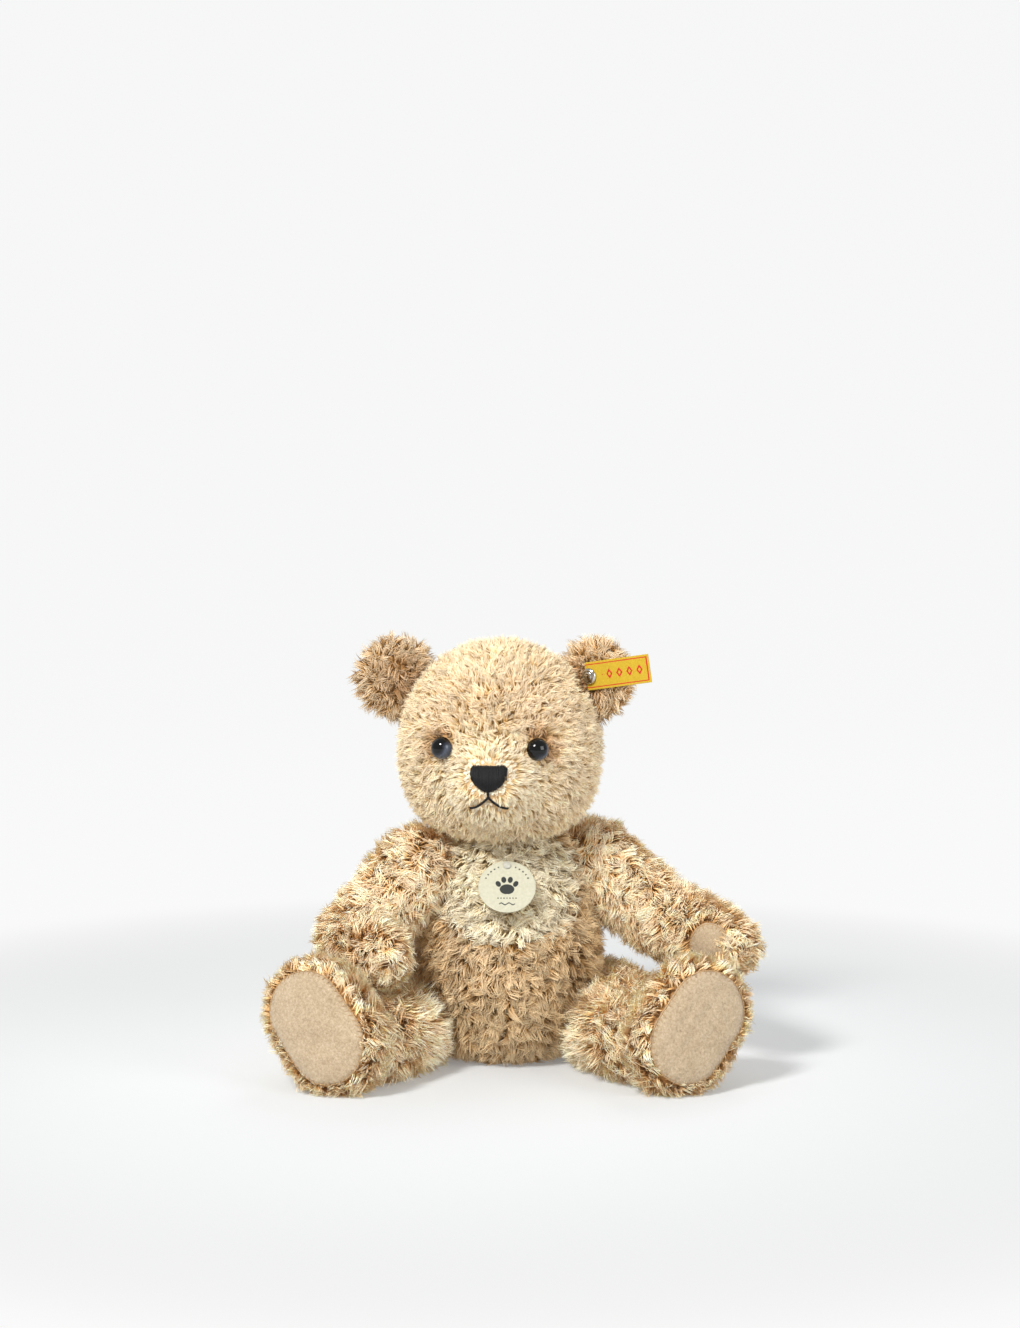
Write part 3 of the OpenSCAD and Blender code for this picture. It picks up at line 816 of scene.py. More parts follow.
def tufts(key, seed):
    ob = SKINS[key]
    rng = np.random.default_rng(seed)
    dens = {"head": 0.34, "left_ear": 0.26, "right_ear": 0.26}.get(key, 0.15)
    p, n, area = sample(ob, dens, rng)
    m = len(p)
    T = {"p": p, "n": n}
    down = np.array([0, 0, -1.0])
    L = np.full(m, 11.0)
    rad = np.full(m, 3.3)
    k = np.full(m, 14.0)
    lean0 = np.full(m, 0.25)
    lean1 = np.full(m, 1.25)
    wave = np.full(m, 1.6)
    clump = np.full(m, 0.94)
    bend = rng.normal(0, 0.9, m)
    thick = np.ones(m)
    curve = np.full(m, 30.0)
    tip = np.tile(HONEY_TIP, (m, 1))
    root = np.tile(HONEY_ROOT_SHADED, (m, 1))
    mid = np.tile(HONEY_MID, (m, 1))
    frizz = np.full(m, 0.18)
    spin = field(p, seed + 1, 30) * 0.7 + rng.normal(0, 0.38, m)
    keep = np.ones(m, bool)
    bib = np.zeros(m)
    if key == "head":
        lp = xf(HEAD_I, p)
        ln = rot(HEAD_I, n)
        away = lp - np.array([0, -58, 152.0])
        face = smoothstep(0, -34, lp[:, 1])
        c = unit(away) + down * (0.25 + 0.5 * (1 - face))[:, None]
        c = rot(HEAD, c)
        # pale short muzzle
        dm = np.linalg.norm((lp - np.array([0, -50, 148.0])) * np.array([0.88, 0.8, 1.02]), axis=1)
        mz = (1 - smoothstep(19, 29, dm)) * smoothstep(-20, -34, lp[:, 1])
        L = 8.8 - 3.4 * mz
        rad = 2.1 - 0.4 * mz
        k = np.full(m, 7.5)
        lean0 = 0.25 + 0.15 * mz
        lean1 = 1.05 + 0.1 * mz
        wave = 1.1 - 0.5 * mz
        clump = 0.88 - 0.12 * mz
        bend = rng.normal(0, 0.75, m) * (1 - 0.5 * mz)
        curve = np.full(m, 40.0)
        tip = HEAD_TIP + (MUZ_TIP - HEAD_TIP) * mz[:, None]
        root = HEAD_ROOT_SHADED + (MUZ_ROOT_SHADED - HEAD_ROOT_SHADED) * mz[:, None]
        mid = HEAD_MID + (MUZ_MID - HEAD_MID) * mz[:, None]
        front_ = smoothstep(-15, -35, lp[:, 1])
        brow = front_ * smoothstep(172, 180, lp[:, 2]) * (1 - smoothstep(193, 203, lp[:, 2]))
        brow = (brow * (0.75 + 0.25 * field(p, 31, 9)))[:, None]
        mid = mid * (1 - 0.55 * brow) + lin(206, 156, 88) * 0.55 * brow
        root = root * (1 - 0.6 * brow) + lin(134, 78, 30) * 0.6 * brow
        tip = tip * (1 - 0.10 * brow)
        low = (front_ * (1 - smoothstep(166, 176, lp[:, 2])))[:, None] * 0.5
        tip = tip * (1 - low) + lin(255, 241, 216) * low
        mid = mid * (1 - low) + lin(236, 208, 154) * low
        root = root * (1 - low) + lin(184, 138, 72) * low
        spin = field(p, seed + 1, 26) * 0.6 * (1 - 0.6 * mz) + rng.normal(0, 0.55, m) * (1 - 0.4 * mz)
        spin += rng.normal(0, 0.7, m) * np.exp(-(lp[:, 0] / 9.0) ** 2) * front_ * smoothstep(164, 172, lp[:, 2])
        for s in (1, -1):
            d = np.linalg.norm(lp - (EYE_P[s] + EYE_N[s] * 1.5), axis=1)
            keep &= d > 5.7
            q = lp - EYE_P[s]
            inner = smoothstep(0.5, -3.0, q[:, 0] * s) * smoothstep(4.0, 0.0, q[:, 2])
            near_eye = (1 - smoothstep(5.7, 11.0, d)) * (1 - inner)
            L = L * (1 - 0.50 * near_eye)
            L = np.where((inner > 0.4) & (d < 13), np.minimum(L, np.maximum(d - 5.75 + 2.2, 2.0)), L)
            # Darker brown fur round the outer and upper side of each eye: painted shade in the eye socket.
            socket_painted_shade = np.exp(-((d - 7.5) / 3.6) ** 2) * smoothstep(-3.5, 3.0, q[:, 0] * s + 0.7 * q[:, 2]) * 0.8
            socket_painted_shade = socket_painted_shade[:, None]
            tip = tip * (1 - socket_painted_shade) + lin(214, 168, 116) * socket_painted_shade
            mid = mid * (1 - socket_painted_shade) + lin(160, 110, 62) * socket_painted_shade
            root = root * (1 - socket_painted_shade) + lin(98, 58, 26) * socket_painted_shade
            # hair round the eye runs away from it, but the muzzle side leans over its edge a little
            out = rot(HEAD, unit(lp - EYE_P[s]))
            c = c * (1 - near_eye)[:, None] + out * (near_eye * 1.2)[:, None]
            spin *= (1 - 0.7 * near_eye)
        front = lp[:, 1] < -50
        dn = np.abs(lp[:, 0]) < 20
        sh = front & dn & in_poly(lp[:, 0], lp[:, 2], SHIELD, -0.4)
        keep &= ~sh
        ring = front & in_poly(lp[:, 0], lp[:, 2], SHIELD, 3.5) & ~sh
        L = np.where(ring, np.minimum(L, 2.6), L)
        # the mouth lies in a short-clipped strip
        t = np.clip(np.abs(lp[:, 0]) / 9.2, 0, 1.15)
        zm = 137.2 + 5.8 * np.maximum(1 - t, 0) ** 1.8
        dmouth = np.where((np.abs(lp[:, 0]) < 10.5) & front, np.abs(lp[:, 2] - zm), 99)
        dmid = np.where(front & (lp[:, 2] > 141) & (lp[:, 2] < 147), np.abs(lp[:, 0]), 99)
        dmm = np.minimum(dmouth, dmid)
        keep &= dmm > 0.9
        L = np.where(dmm < 3.5, np.minimum(L, 1.6 + 0.5 * dmm), L)
        rad = np.where((dmm < 3) | ring, 1.1, rad)
        wave = np.where((dmm < 3) | ring, 0.15, wave)
        k = np.where((dmm < 3) | ring, k * 1.2, k)
        pale = np.where(ring, 0.8, 0) + np.where(dmm < 5, 0.8 * (1 - dmm / 5), 0)
        pale = np.clip(pale, 0, 0.85)[:, None]
        root = root * (1 - pale) + MUZ_TIP * 0.9 * pale
        mid = mid * (1 - pale) + MUZ_TIP * 0.95 * pale
        # under the ear
        fl_ = xf(np.linalg.inv(FLAG), p)
        keep &= ~((fl_[:, 0] > -5.0) & (fl_[:, 0] < 36) & (np.abs(fl_[:, 1]) < 8.3) & (fl_[:, 2] > -0.8) & (fl_[:, 2] < 9))
    elif key == "torso":
        c = down[None] * 1.0 + np.stack([np.sign(p[:, 0]) * 0.25, np.zeros(m), np.zeros(m)], 1)
        front = p[:, 1] < -8
        ax = np.abs(p[:, 0])
        lim = np.interp(p[:, 2], [63, 66, 70, 78, 88, 103, 112], [4, 10, 22, 30, 33, 33, 27])
        bib = np.where(front & (p[:, 2] > 64.5), 1 - smoothstep(-3.0, 2.0, ax - lim + rng.normal(0, 1.2, m)), 0)
        tip = tip + (CREAM_TIP - tip) * bib[:, None]
        root = root + (CREAM_ROOT_SHADED - root) * bib[:, None]
        mid = mid + (CREAM_MID - mid) * bib[:, None]
        # Outside the bib the torso fur turns darker and more golden with near-black roots: partly its own tone, partly
        # painted shade on the torso and between its tufts.
        nb = (1 - bib)[:, None]
        tip = tip * (1 - nb) + lin(255, 230, 186) * nb
        root = root * (1 - nb) + lin(60, 30, 6) * nb
        mid = mid * (1 - nb) + lin(204, 152, 80) * nb
        L = L - 1.0 * bib
        # parting at the back seam
        back = (p[:, 1] > 5) & (p[:, 2] > 20) & (p[:, 2] < 108)
        part = np.where(back, 1 - smoothstep(1.5, 8.0, ax), 0)
        keep &= ~(back & (ax < 1.3))
        L = L * (1 - 0.45 * part)
        c = c * (1 - 0.7 * part)[:, None] + np.stack([np.sign(p[:, 0]) * part * 1.2, np.zeros(m), np.zeros(m)], 1)
        curve = np.full(m, 42.0)
        keep &= ~((n[:, 2] < -0.75) & (p[:, 2] < 1.5))
        spin = field(p, seed + 1, 34) * 0.75 + rng.normal(0, 0.65, m)
    elif key in LIMB_PATH:
        # On the limbs the tips are paler and the roots darker: painted light on the lit tips and painted shade deep in
        # the pile.
        tip = tip * 0.4 + lin(255, 242, 216) * 0.6
        root = root * 0.85
        c = path_dir(LIMB_PATH[key], p) + down * 0.35
        tree = PAD_TREE[key]
        d = near(tree, p, 12.0)
        keep &= d > (1.0 if "leg" in key else 0.9)
        rim = 1 - smoothstep(1.5, 9.0, d)
        pale = (0.65 * (1 - smoothstep(1.5, 5.0, d)))[:, None]
        root = root * (1 - pale) + lin(186, 138, 86) * pale
        mid = mid * (1 - pale) + lin(232, 194, 138) * pale
        if "leg" in key:
            sgn = 1 if key == "left_leg" else -1
            fc = FOOT_C if sgn > 0 else mirror(FOOT_C)
            sn = SOLE_N if sgn > 0 else mirror(SOLE_N)
            q = p - fc
            radial = unit(q - (q @ sn)[:, None] * sn)
            over = rim * smoothstep(0.15, -0.6, radial[:, 2] + 0.25 * field(p, 77, 9))
            edge_dir = radial * (0.9 - 1.3 * over)[:, None] + sn * 0.55
            c = c * (1 - rim)[:, None] + edge_dir * rim[:, None]
            lean1 = lean1 - 0.35 * rim
            L = L - 3.6 * rim - 1.0 * over
            ax = p[:, 0] * sgn
            inn = smoothstep(56, 44, ax) * smoothstep(-8, -18, p[:, 1]) * smoothstep(-0.1, 0.4, -n[:, 0] * sgn)
            c = c * (1 - inn)[:, None] + np.array([-sgn * 1.0, -0.25, -0.35]) * inn[:, None]
            L = L + 2.4 * inn
            lean1 = lean1 - 0.45 * inn
        else:
            pc = coords(NODES[PADS[key]].data).mean(0)
            radial = unit(p - pc)
            c = c * (1 - rim)[:, None] + (radial + path_dir(LIMB_PATH[key], p) * 0.8) * rim[:, None]
            L = L - 3.0 * rim
        spin = field(p, seed + 1, 30) * 0.7 + rng.normal(0, 0.60, m)
        spin *= 1 - 0.5 * rim
        curve = np.full(m, 19.0)
    else:
        E = EAR_L if key == "left_ear" else EAR_R
        ep, en = xf(np.linalg.inv(E), p), rot(np.linalg.inv(E), n)
        front = smoothstep(0.1, 0.7, -en[:, 1])
        rr = np.hypot(ep[:, 0], ep[:, 2])
        radial = ep * np.array([1, 0.15, 1]) + np.array([0, 0, 7.0])
        flow = np.array([0.25, 0, -1.0]) if key == "left_ear" else np.array([-0.25, 0, -1.0])
        w = (smoothstep(3, 12, rr) * 0.6 + 0.4 * front)[:, None]
        c = rot(E, unit(unit(radial) * w + flow * (1 - w)))
        sgn = 1 if key == "left_ear" else -1
        L = 9.6 - 2.6 * front * (1 - smoothstep(11, 16, rr))
        rad = np.full(m, 2.3)
        k = np.full(m, 10.0)
        lean0 = np.full(m, 0.35)
        lean1 = 1.2 - 0.30 * smoothstep(12, 17, rr)
        curve = np.full(m, 14.0)
        # The inner cup and its lower inner corner are darkened: painted shade in the ear's hollow.
        low_in = front * (1 - smoothstep(0, 15, np.hypot(ep[:, 0] + sgn * 7, ep[:, 2] + 7)))
        ear_painted_shade = np.clip(front * (1 - smoothstep(5, 15, rr)) * 0.45 + low_in * 0.5, 0, 0.8)
        tip = tip * (1 - ear_painted_shade)[:, None] + lin(198, 150, 98) * ear_painted_shade[:, None]
        root = root * (1 - ear_painted_shade)[:, None] + lin(110, 66, 28) * ear_painted_shade[:, None]
        mid = mid * (1 - ear_painted_shade)[:, None] + lin(168, 116, 64) * ear_painted_shade[:, None]
        spin = rng.normal(0, 0.5, m)
        keep &= np.linalg.norm(xf(HEAD_I, p) * np.array([1, 1, 0]), axis=1) > 30
        if key == "left_ear":
            bp = xf(np.linalg.inv(BUTTON), p)
            db = np.hypot(bp[:, 0], bp[:, 1])
            nearb = (1 - smoothstep(4, 9, db)) * (bp[:, 2] > 0)
            L = L * (1 - 0.75 * nearb)
    T["c"] = turn(tangent(c, n), n, spin)
    # other bodies close by press the pile flat
    body = RIDES[key]
    if True:
        others = [o for o in TREES if o != body]
        gap = np.full(m, 9.0)
        for o in others:
            gap = np.minimum(gap, ahead(TREES[o], p + n * (SINK * 0.6), n, 9.0))
        tight = 1 - smoothstep(2.0, 6.0, gap)
        L = L * (1 - 0.55 * tight)
        lean0 = lean0 + (0.85 - lean0) * tight
        lean1 = lean1 + (1.45 - lean1) * tight
        keep &= gap > 1.2
        if key == "head":
            for E in (EAR_L, EAR_R):
                pass
    # lying on the floor
    fl = (p[:, 2] < 9) & (n[:, 2] < 0.2)
    lean0 = np.where(fl, lean0 + 0.15, lean0)
    # shade: random tone per tuft, times the painted light and shade of each part (0.95 on the bib).
    T.update(L=L * rng.uniform(0.82, 1.12, m), k=np.maximum(np.round(k * rng.uniform(0.75, 1.25, m)), 1), rad=rad, root=root, mid=mid, tip=tip,
             bend=bend, lean0=lean0 + rng.normal(0, 0.12, m), lean1=lean1 + rng.normal(0, 0.24, m), wave=wave * rng.uniform(0.4, 1.3, m),
             clump=np.clip(clump + rng.normal(0, 0.1, m), 0, 0.95), phase=rng.uniform(0, 2 * math.pi, m), freq=rng.uniform(0.5, 0.95, m),
             thick=thick, frizz=frizz, curve=curve, shade=np.clip(rng.normal(1.0, {"head": 0.11, "torso": 0.20}.get(key, 0.16), m) + 0.06 * field(p, seed + 9, 16), 0.66, 1.25) * np.where(bib > 0.5, 0.95, PART_LIGHT_SHADE.get(key, 1.0)))
    push = []
    if key in ("torso",):
        push.append(behind_plane(TAG_C - TAG_N * 0.5, TAG_N, TAG_UP, lambda x, y: np.hypot(x, y) < TAG_R + 0.4, 0.7))
    if key in ("left_ear", "head"):
        fc = xf(FLAG, [0, 0, -0.1])
        push.append(behind_plane(fc, rot(FLAG, [0, 0, 1.0]), rot(FLAG, [0, 1.0, 0]),
                                 lambda x, y: (x > -4.5) & (x < 36.6) & (np.abs(y) < 7.8), 0.5))
    T["push"] = push
    T["bib"] = bib
    for kk in list(T):
        if kk != "push" and isinstance(T[kk], np.ndarray) and len(T[kk]) == m:
            T[kk] = T[kk][keep]
    return T, rng, area


def pick(T, m):
    return {k: (v if k == "push" else v[m]) for k, v in T.items()}


TOTAL = 0
for i, key in enumerate(SKINS):
    T, rng, area = tufts(key, 100 + 17 * i)
    say(key, "area", round(area), "tufts", len(T["p"]))
    if key == "torso":
        b = T["bib"] > 0.5
        made = build_pile("chest_bib_pile", "torso", pick(T, b), rng, stands=["chest_bib"])
        made += build_pile("torso_pile", "torso", pick(T, ~b), rng)
    else:
        made = build_pile(key + "_pile", RIDES[key], T, rng)

# --------------------------------------------------------------------------
# pads
# --------------------------------------------------------------------------
M["pad_thread"] = noise_mat("pad_thread", (168, 134, 94), (202, 172, 132), 3200, 0.7, 0.25, bump=0.4)
for key, node in PADS.items():
    co, tri = coords(NODES[node].data), triangles(NODES[node].data)
    ob = mesh_from(node + "_src", co, tri)
    m = ob.modifiers.new("r", "REMESH")
    m.mode = "VOXEL"
    m.voxel_size = 0.55 * MM if "paw" in node else 0.8 * MM
    me = evaluated_mesh(ob, node + "_velour")
    bpy.data.objects.remove(ob)
    keep_largest(me)
    me.name = node + "_velour"
    pad = bpy.data.objects.new(node + "_velour", me)
    scene.collection.objects.link(pad)
    c = smooth_mesh(coords(me), edges_of(me), 5)
    nn = vnormals(c, triangles(me))
    c = c + nn * (0.16 * field(c, 5, 9) + 0.10 * field(c, 6, 4))[:, None]
    set_coords(me, c)
    me.polygons.foreach_set("use_smooth", np.ones(len(me.polygons), bool))
    me.materials.append(M["pad"])
    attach(pad, key)
    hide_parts(node)


def tube(points, radius, sides=7, closed=False, twist=0.0, ripple=0.0):
    """Verts and faces of a tube along points (n, 3); radius a number or array."""
    pts = np.asarray(points, float)
    n = len(pts)
    r = np.broadcast_to(np.asarray(radius, float), (n,))
    t = unit(np.gradient(pts, axis=0))
    ref = np.array([0, 0, 1.0])
    if abs(t[0] @ ref) > 0.9:
        ref = np.array([1.0, 0, 0])
    u = unit(np.cross(t[0], ref))
    vs, fs = [], []
    for i in range(n):
        u = unit(u - (u @ t[i]) * t[i])
        w = np.cross(t[i], u)
        for s in range(sides):
            a = 2 * math.pi * s / sides + twist * i
            rad = r[i] * (1 + ripple * math.cos(2 * (a) + i * 0.9))
            vs.append(pts[i] + (u * math.cos(a) + w * math.sin(a)) * rad)
    for i in range(n - 1):
        for s in range(sides):
            a, b = i * sides + s, i * sides + (s + 1) % sides
            fs.append((a, b, b + sides, a + sides))
    if not closed:
        fs.append(tuple(range(sides))[::-1])
        fs.append(tuple((n - 1) * sides + s for s in range(sides)))
    return vs, fs


def revolve(profile, n=48):
    """profile (r, z) from axis to axis, turned about z."""
    vs, fs = [], []
    rings = []
    for r, z in profile:
        if r < 1e-6:
            rings.append([len(vs)])
            vs.append((0, 0, z))
        else:
            rings.append(list(range(len(vs), len(vs) + n)))
            for i in range(n):
                a = 2 * math.pi * i / n
                vs.append((r * math.cos(a), r * math.sin(a), z))
    for A, B in zip(rings[:-1], rings[1:]):
        if len(A) == 1 and len(B) == 1:
            continue
        for i in range(n):
            j = (i + 1) % n
            if len(A) == 1:
                fs.append((A[0], B[j], B[i]))
            elif len(B) == 1:
                fs.append((A[i], A[j], B[0]))
            else:
                fs.append((A[i], A[j], B[j], B[i]))
    return np.array(vs, float), fs


def join(lists):
    V_, F_, b = [], [], 0
    for v, f in lists:
        V_.extend([tuple(x) for x in v])
        F_.extend([tuple(i + b for i in g) for g in f])
        b += len(v)
    return V_, F_


def along(n, p):
    """Frame with z along n."""
    n = unit(n)
    x = unit(np.cross(np.array([0, 0, 1.0]), n)) if abs(n[2]) < 0.98 else np.array([1.0, 0, 0])
    y = np.cross(n, x)
    m = np.eye(4)
    m[:3, 0], m[:3, 1], m[:3, 2], m[:3, 3] = x, y, n, p
    return m


# seams round the pads: a laid cord with small overcast stitches over it
def stadium(r, e, n):
    """n points on the outline of a slot of half width r whose centres are e either side, along x."""
    out = []
    per = 2 * math.pi * r + 4 * e
    for i in range(n):
        d = per * i / n
        if d < 2 * e:
            out.append((-e + d, r))
        elif d < 2 * e + math.pi * r:
            a = math.pi / 2 - (d - 2 * e) / r
            out.append((e + r * math.cos(a), r * math.sin(a)))
        elif d < 4 * e + math.pi * r:
            out.append((e - (d - 2 * e - math.pi * r), -r))
        else:
            a = -math.pi / 2 - (d - 4 * e - math.pi * r) / r
            out.append((-e + r * math.cos(a), r * math.sin(a)))
    return np.array(out)


def pad_seam(key, centre, normal, axis, r, e, name, step):
    normal = unit(normal)
    a = unit(np.asarray(axis, float) - (np.asarray(axis, float) @ normal) * normal)
    b = np.cross(normal, a)
    tree = PAD_TREE[key]

    def land(x, y, lift):
        o = centre + a * x + b * y + normal * 30
        hit = tree.ray_cast(Vector(o), Vector(-normal), 60)
        if hit[0] is None:
            hit = tree.find_nearest(Vector(centre + a * x + b * y))
        return np.array(hit[0]) + normal * lift

    parts = []
    ring = stadium(r - 0.35, e, 220)
    path = np.array([land(x, y, 0.12) for x, y in ring])
    path = np.vstack([path, path[:2]])
    for _ in range(3):
        path[1:-1] = (path[:-2] + path[2:] + 2 * path[1:-1]) / 4
    parts.append(tube(path, 0.32, 7, twist=0.5, ripple=0.10))
    per = 2 * math.pi * r + 4 * e
    n = int(per / step)
    ins, out = stadium(r - 1.9, e, n), stadium(r - 0.35, e, n)
    r_ = np.random.default_rng(len(name))
    for (x0, y0), (x1, y1) in zip(ins, out):
        jx, jy = r_.normal(0, 0.12, 2)
        p0, p2 = land(x0 + jx, y0 + jy, 0.05), land(x1, y1, 0.5)
        p1 = (p0 + p2) / 2 + normal * 0.28
        p3 = p2 + unit(p2 - p0) * 0.8 - normal * 1.0
        pts = np.array([p0 - normal * 0.5, p0, p1, p2, p3])
        t5 = np.linspace(0, 4, 13)
        q = np.stack([np.interp(t5, range(5), pts[:, i]) for i in range(3)], 1)
        parts.append(tube(q, 0.16, 5))
    v, f = join(parts)
    ob = mesh_from(name, v, f)
    ob.data.materials.append(M["pad_thread"])
    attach(ob, key)


pad_seam("left_leg", FOOT_C, SOLE_N, TOE_DIR, 20.6, 9.3, "left_sole_seam", 3.0)
pad_seam("right_leg", mirror(FOOT_C), mirror(SOLE_N), mirror(TOE_DIR), 20.6, 9.3, "right_sole_seam", 3.0)
for key, elbow, paw, palm, back in (("left_arm", (80, 0, 72), (112, -38, 64), (-0.22, -0.96, -0.05), 9), ("right_arm", (-77, -26, 65), (-64, -56.5, 62), (0.50, -0.05, -0.86), 5)):
    elbow, paw = np.array(elbow, float), np.array(paw, float)
    pad_seam(key, paw + back * unit(elbow - paw), palm, elbow - paw, 11.4, 0.001, key.replace("arm", "paw") + "_seam", 2.6)

# eyes: a glossy dome on a rolled rim, with its stem
for s, node in ((1, "left_eye"), (-1, "right_eye")):
    dome = [(0, 7.15)]
    for i in range(1, 15):
        a = i / 14 * math.radians(84)
        dome.append((5.62 * math.sin(a) ** 0.96, 2.3 + 4.85 * math.cos(a)))
    prof = dome + [(5.75, 2.5), (5.7, 1.9), (5.3, 1.35), (4.6, 1.1), (1.5, 1.1), (1.5, -8.1), (1.3, -8.5), (0, -8.5)]
    v, f = revolve(prof, 64)
    # A lighter grey-blue crescent on one side of each dome: a painted reflection, laid in as a grey-blue iris edge.
    rr_ = np.hypot(v[:, 0], v[:, 1])
    reflection_side = (v[:, 0] * 0.80 - v[:, 1] * 0.60) / np.maximum(rr_, 1e-6)
    ring = smoothstep(0.30, 0.80, rr_ / 5.75) * smoothstep(-0.15, 0.75, reflection_side) * (v[:, 2] > 1.5)
    E = HEAD @ along(EYE_N[s], EYE_P[s])
    ob = mesh_from(node + "_dome", xf(E, v), f)
    at = ob.data.attributes.new("reflection_crescent", "FLOAT", "POINT")
    at.data.foreach_set("value", ring.astype(np.float32))
    ob.data.materials.append(M["eye"])
    import bmesh
    bm = bmesh.new()
    bm.from_mesh(ob.data)
    bmesh.ops.recalc_face_normals(bm, faces=bm.faces)
    bm.to_mesh(ob.data)
    bm.free()
    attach(ob, "head")
    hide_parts(node)


def on_muzzle(x, z, h):
    """Point on the muzzle ball at height h above it, from head-frame x and z."""
    x, z = np.asarray(x, float), np.asarray(z, float)
    r = MUZ_R + h
    dz = z - MUZ_B[2]
    y = MUZ_B[1] - np.sqrt(np.maximum(r * r - x * x - dz * dz, 0))
    return np.stack([x, y, z], -1)


# nose: satin stitches laid side by side over a padded shield
rng = np.random.default_rng(77)
stitches = []
xs = np.arange(-9.1, 9.11, 0.52)
for j, x in enumerate(xs):
    zz = np.linspace(140, 162, 441)
    ins = in_poly(np.full(441, x), zz, SHIELD, 0.0)
    if not ins.any():
        continue
    z0, z1 = zz[ins].min(), zz[ins].max()
    z0 -= rng.uniform(0.0, 0.3)
    z1 += rng.uniform(0.0, 0.3)
    m_ = 15
    t = np.linspace(0, 1, m_)
    z = z1 + (z0 - z1) * t
    xx = x + rng.normal(0, 0.06) + 0.10 * np.sin(t * 3 + rng.uniform(0, 6))
    edge = min(1.0, (9.6 - abs(x)) / 3.0)
    h = 0.35 + 1.65 * edge * np.sin(np.pi * np.clip(t, 0, 1)) ** 0.45
    p = on_muzzle(xx, z, h)
    r = 0.40 * (0.75 + 0.25 * np.sin(np.pi * t) ** 0.3) * rng.uniform(0.92, 1.08)
    stitches.append(tube(xf(HEAD, p), r, 7, twist=0.35, ripple=0.08))
# the padding under them
gx, gz = np.meshgrid(np.linspace(-9.2, 9.2, 41), np.linspace(145.6, 158.4, 29))
pad_in = in_poly(gx, gz, SHIELD, -0.2)
pv = on_muzzle(gx, gz, 0.3 + 1.45 * np.clip(np.minimum((9.6 - np.abs(gx)) / 3, np.minimum(gz - 145, 159 - gz) / 2.5), 0, 1))
pf = []
W_ = gx.shape[1]
for i in range(gx.shape[0] - 1):
    for j in range(W_ - 1):
        if pad_in[i, j] and pad_in[i + 1, j] and pad_in[i, j + 1] and pad_in[i + 1, j + 1]:
            pf.append((i * W_ + j, (i + 1) * W_ + j, (i + 1) * W_ + j + 1, i * W_ + j + 1))
stitches.append((xf(HEAD, pv.reshape(-1, 3)), pf))
v, f = join(stitches)
ob = mesh_from("nose_satin_stitch", v, f)
ob.data.materials.append(M["black_thread"])
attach(ob, "head")
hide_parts("nose_embroidery")

# mouth: two plies twisted together along each stroke
strokes = []
t = np.linspace(0, 1, 60)
mid = on_muzzle(np.zeros(60), 146.2 + (142.2 - 146.2) * t, 0.75)
sides_ = []
for s in (1, -1):
    x = s * 9.6 * t
    z = 137.0 + 6.0 * (1 - t) ** 1.8
    sides_.append(on_muzzle(x, z, 0.75 - 0.5 * t ** 6))
for path in [mid] + sides_:
    tg = unit(np.gradient(path, axis=0))
    nn = unit(path - MUZ_B)
    bb = np.cross(tg, nn)
    arc = np.concatenate([[0], np.cumsum(np.linalg.norm(np.diff(path, axis=0), axis=1))])
    for ply in (0, 1):
        a = arc * 2 * math.pi / 2.6 + ply * math.pi
        q = path + (nn * np.cos(a)[:, None] + bb * np.sin(a)[:, None]) * 0.30
        strokes.append(tube(xf(HEAD, q), 0.42, 7))
v, f = join(strokes)
ob = mesh_from("mouth_thread", v, f)
ob.data.materials.append(M["black_thread"])
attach(ob, "head")
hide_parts("mouth_stitching")

# ear button: a domed cap with a rolled rim and a plain groove
M["button"] = noise_mat("button_metal", (176, 174, 168), (226, 225, 220), 1800, 0.16, 0.5, 1.0)
prof = [(0, 2.15), (0.6, 2.14), (1.2, 2.08), (1.8, 1.98), (2.15, 1.84), (2.3, 1.7), (2.5, 1.78), (2.8, 1.78), (3.2, 1.7), (3.6, 1.5), (3.95, 1.15), (4.15, 0.75), (4.2, 0.5),
        (4.12, 0.2), (3.8, 0.0), (1.2, 0.0), (1.2, -14.2), (0, -14.2)]
v, f = revolve(prof, 64)
ob = mesh_from("ear_button_cap", xf(BUTTON @ mat_t(0, 0, 7.0), v), f)
ob.data.materials.append(M["button"])
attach(ob, "head")
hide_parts("ear_button")


# woven ribbon: folded double, a plain yellow weave with a red border
def flag_mat():
    m = Mat("ribbon_weave", 0.65, 0.3, 0.0, **{"Sheen Weight": 0.2})
    uv = m.node("ShaderNodeAttribute", attribute_name="Weave")
    sep = m.node("ShaderNodeSeparateXYZ")
    m.link(uv.outputs["Vector"], sep.inputs[0])
    w1 = m.node("ShaderNodeTexWave")
    w1.inputs["Scale"].default_value = 1.0
    n = m.noise(1500, 3)
    col = m.ramp(n, [(0.3, tuple(lin(190, 156, 28))), (0.7, tuple(lin(208, 176, 48)))])
    at = m.node("ShaderNodeAttribute", attribute_name="Band")
    mix = m.node("ShaderNodeMix", data_type="RGBA")
    m.link(at.outputs["Fac"], mix.inputs["Factor"])
    m.link(col, mix.inputs["A"])
    mix.inputs["B"].default_value = (*lin(196, 34, 28), 1)
    m.t.nodes.remove(w1)
    m.base(mix.outputs["Result"])
    return m.m


M["ribbon"] = flag_mat()
nx, ny = 150, 60
X, Y = np.meshgrid(np.linspace(-2.2, 36, nx), np.linspace(-7.25, 7.25, ny))
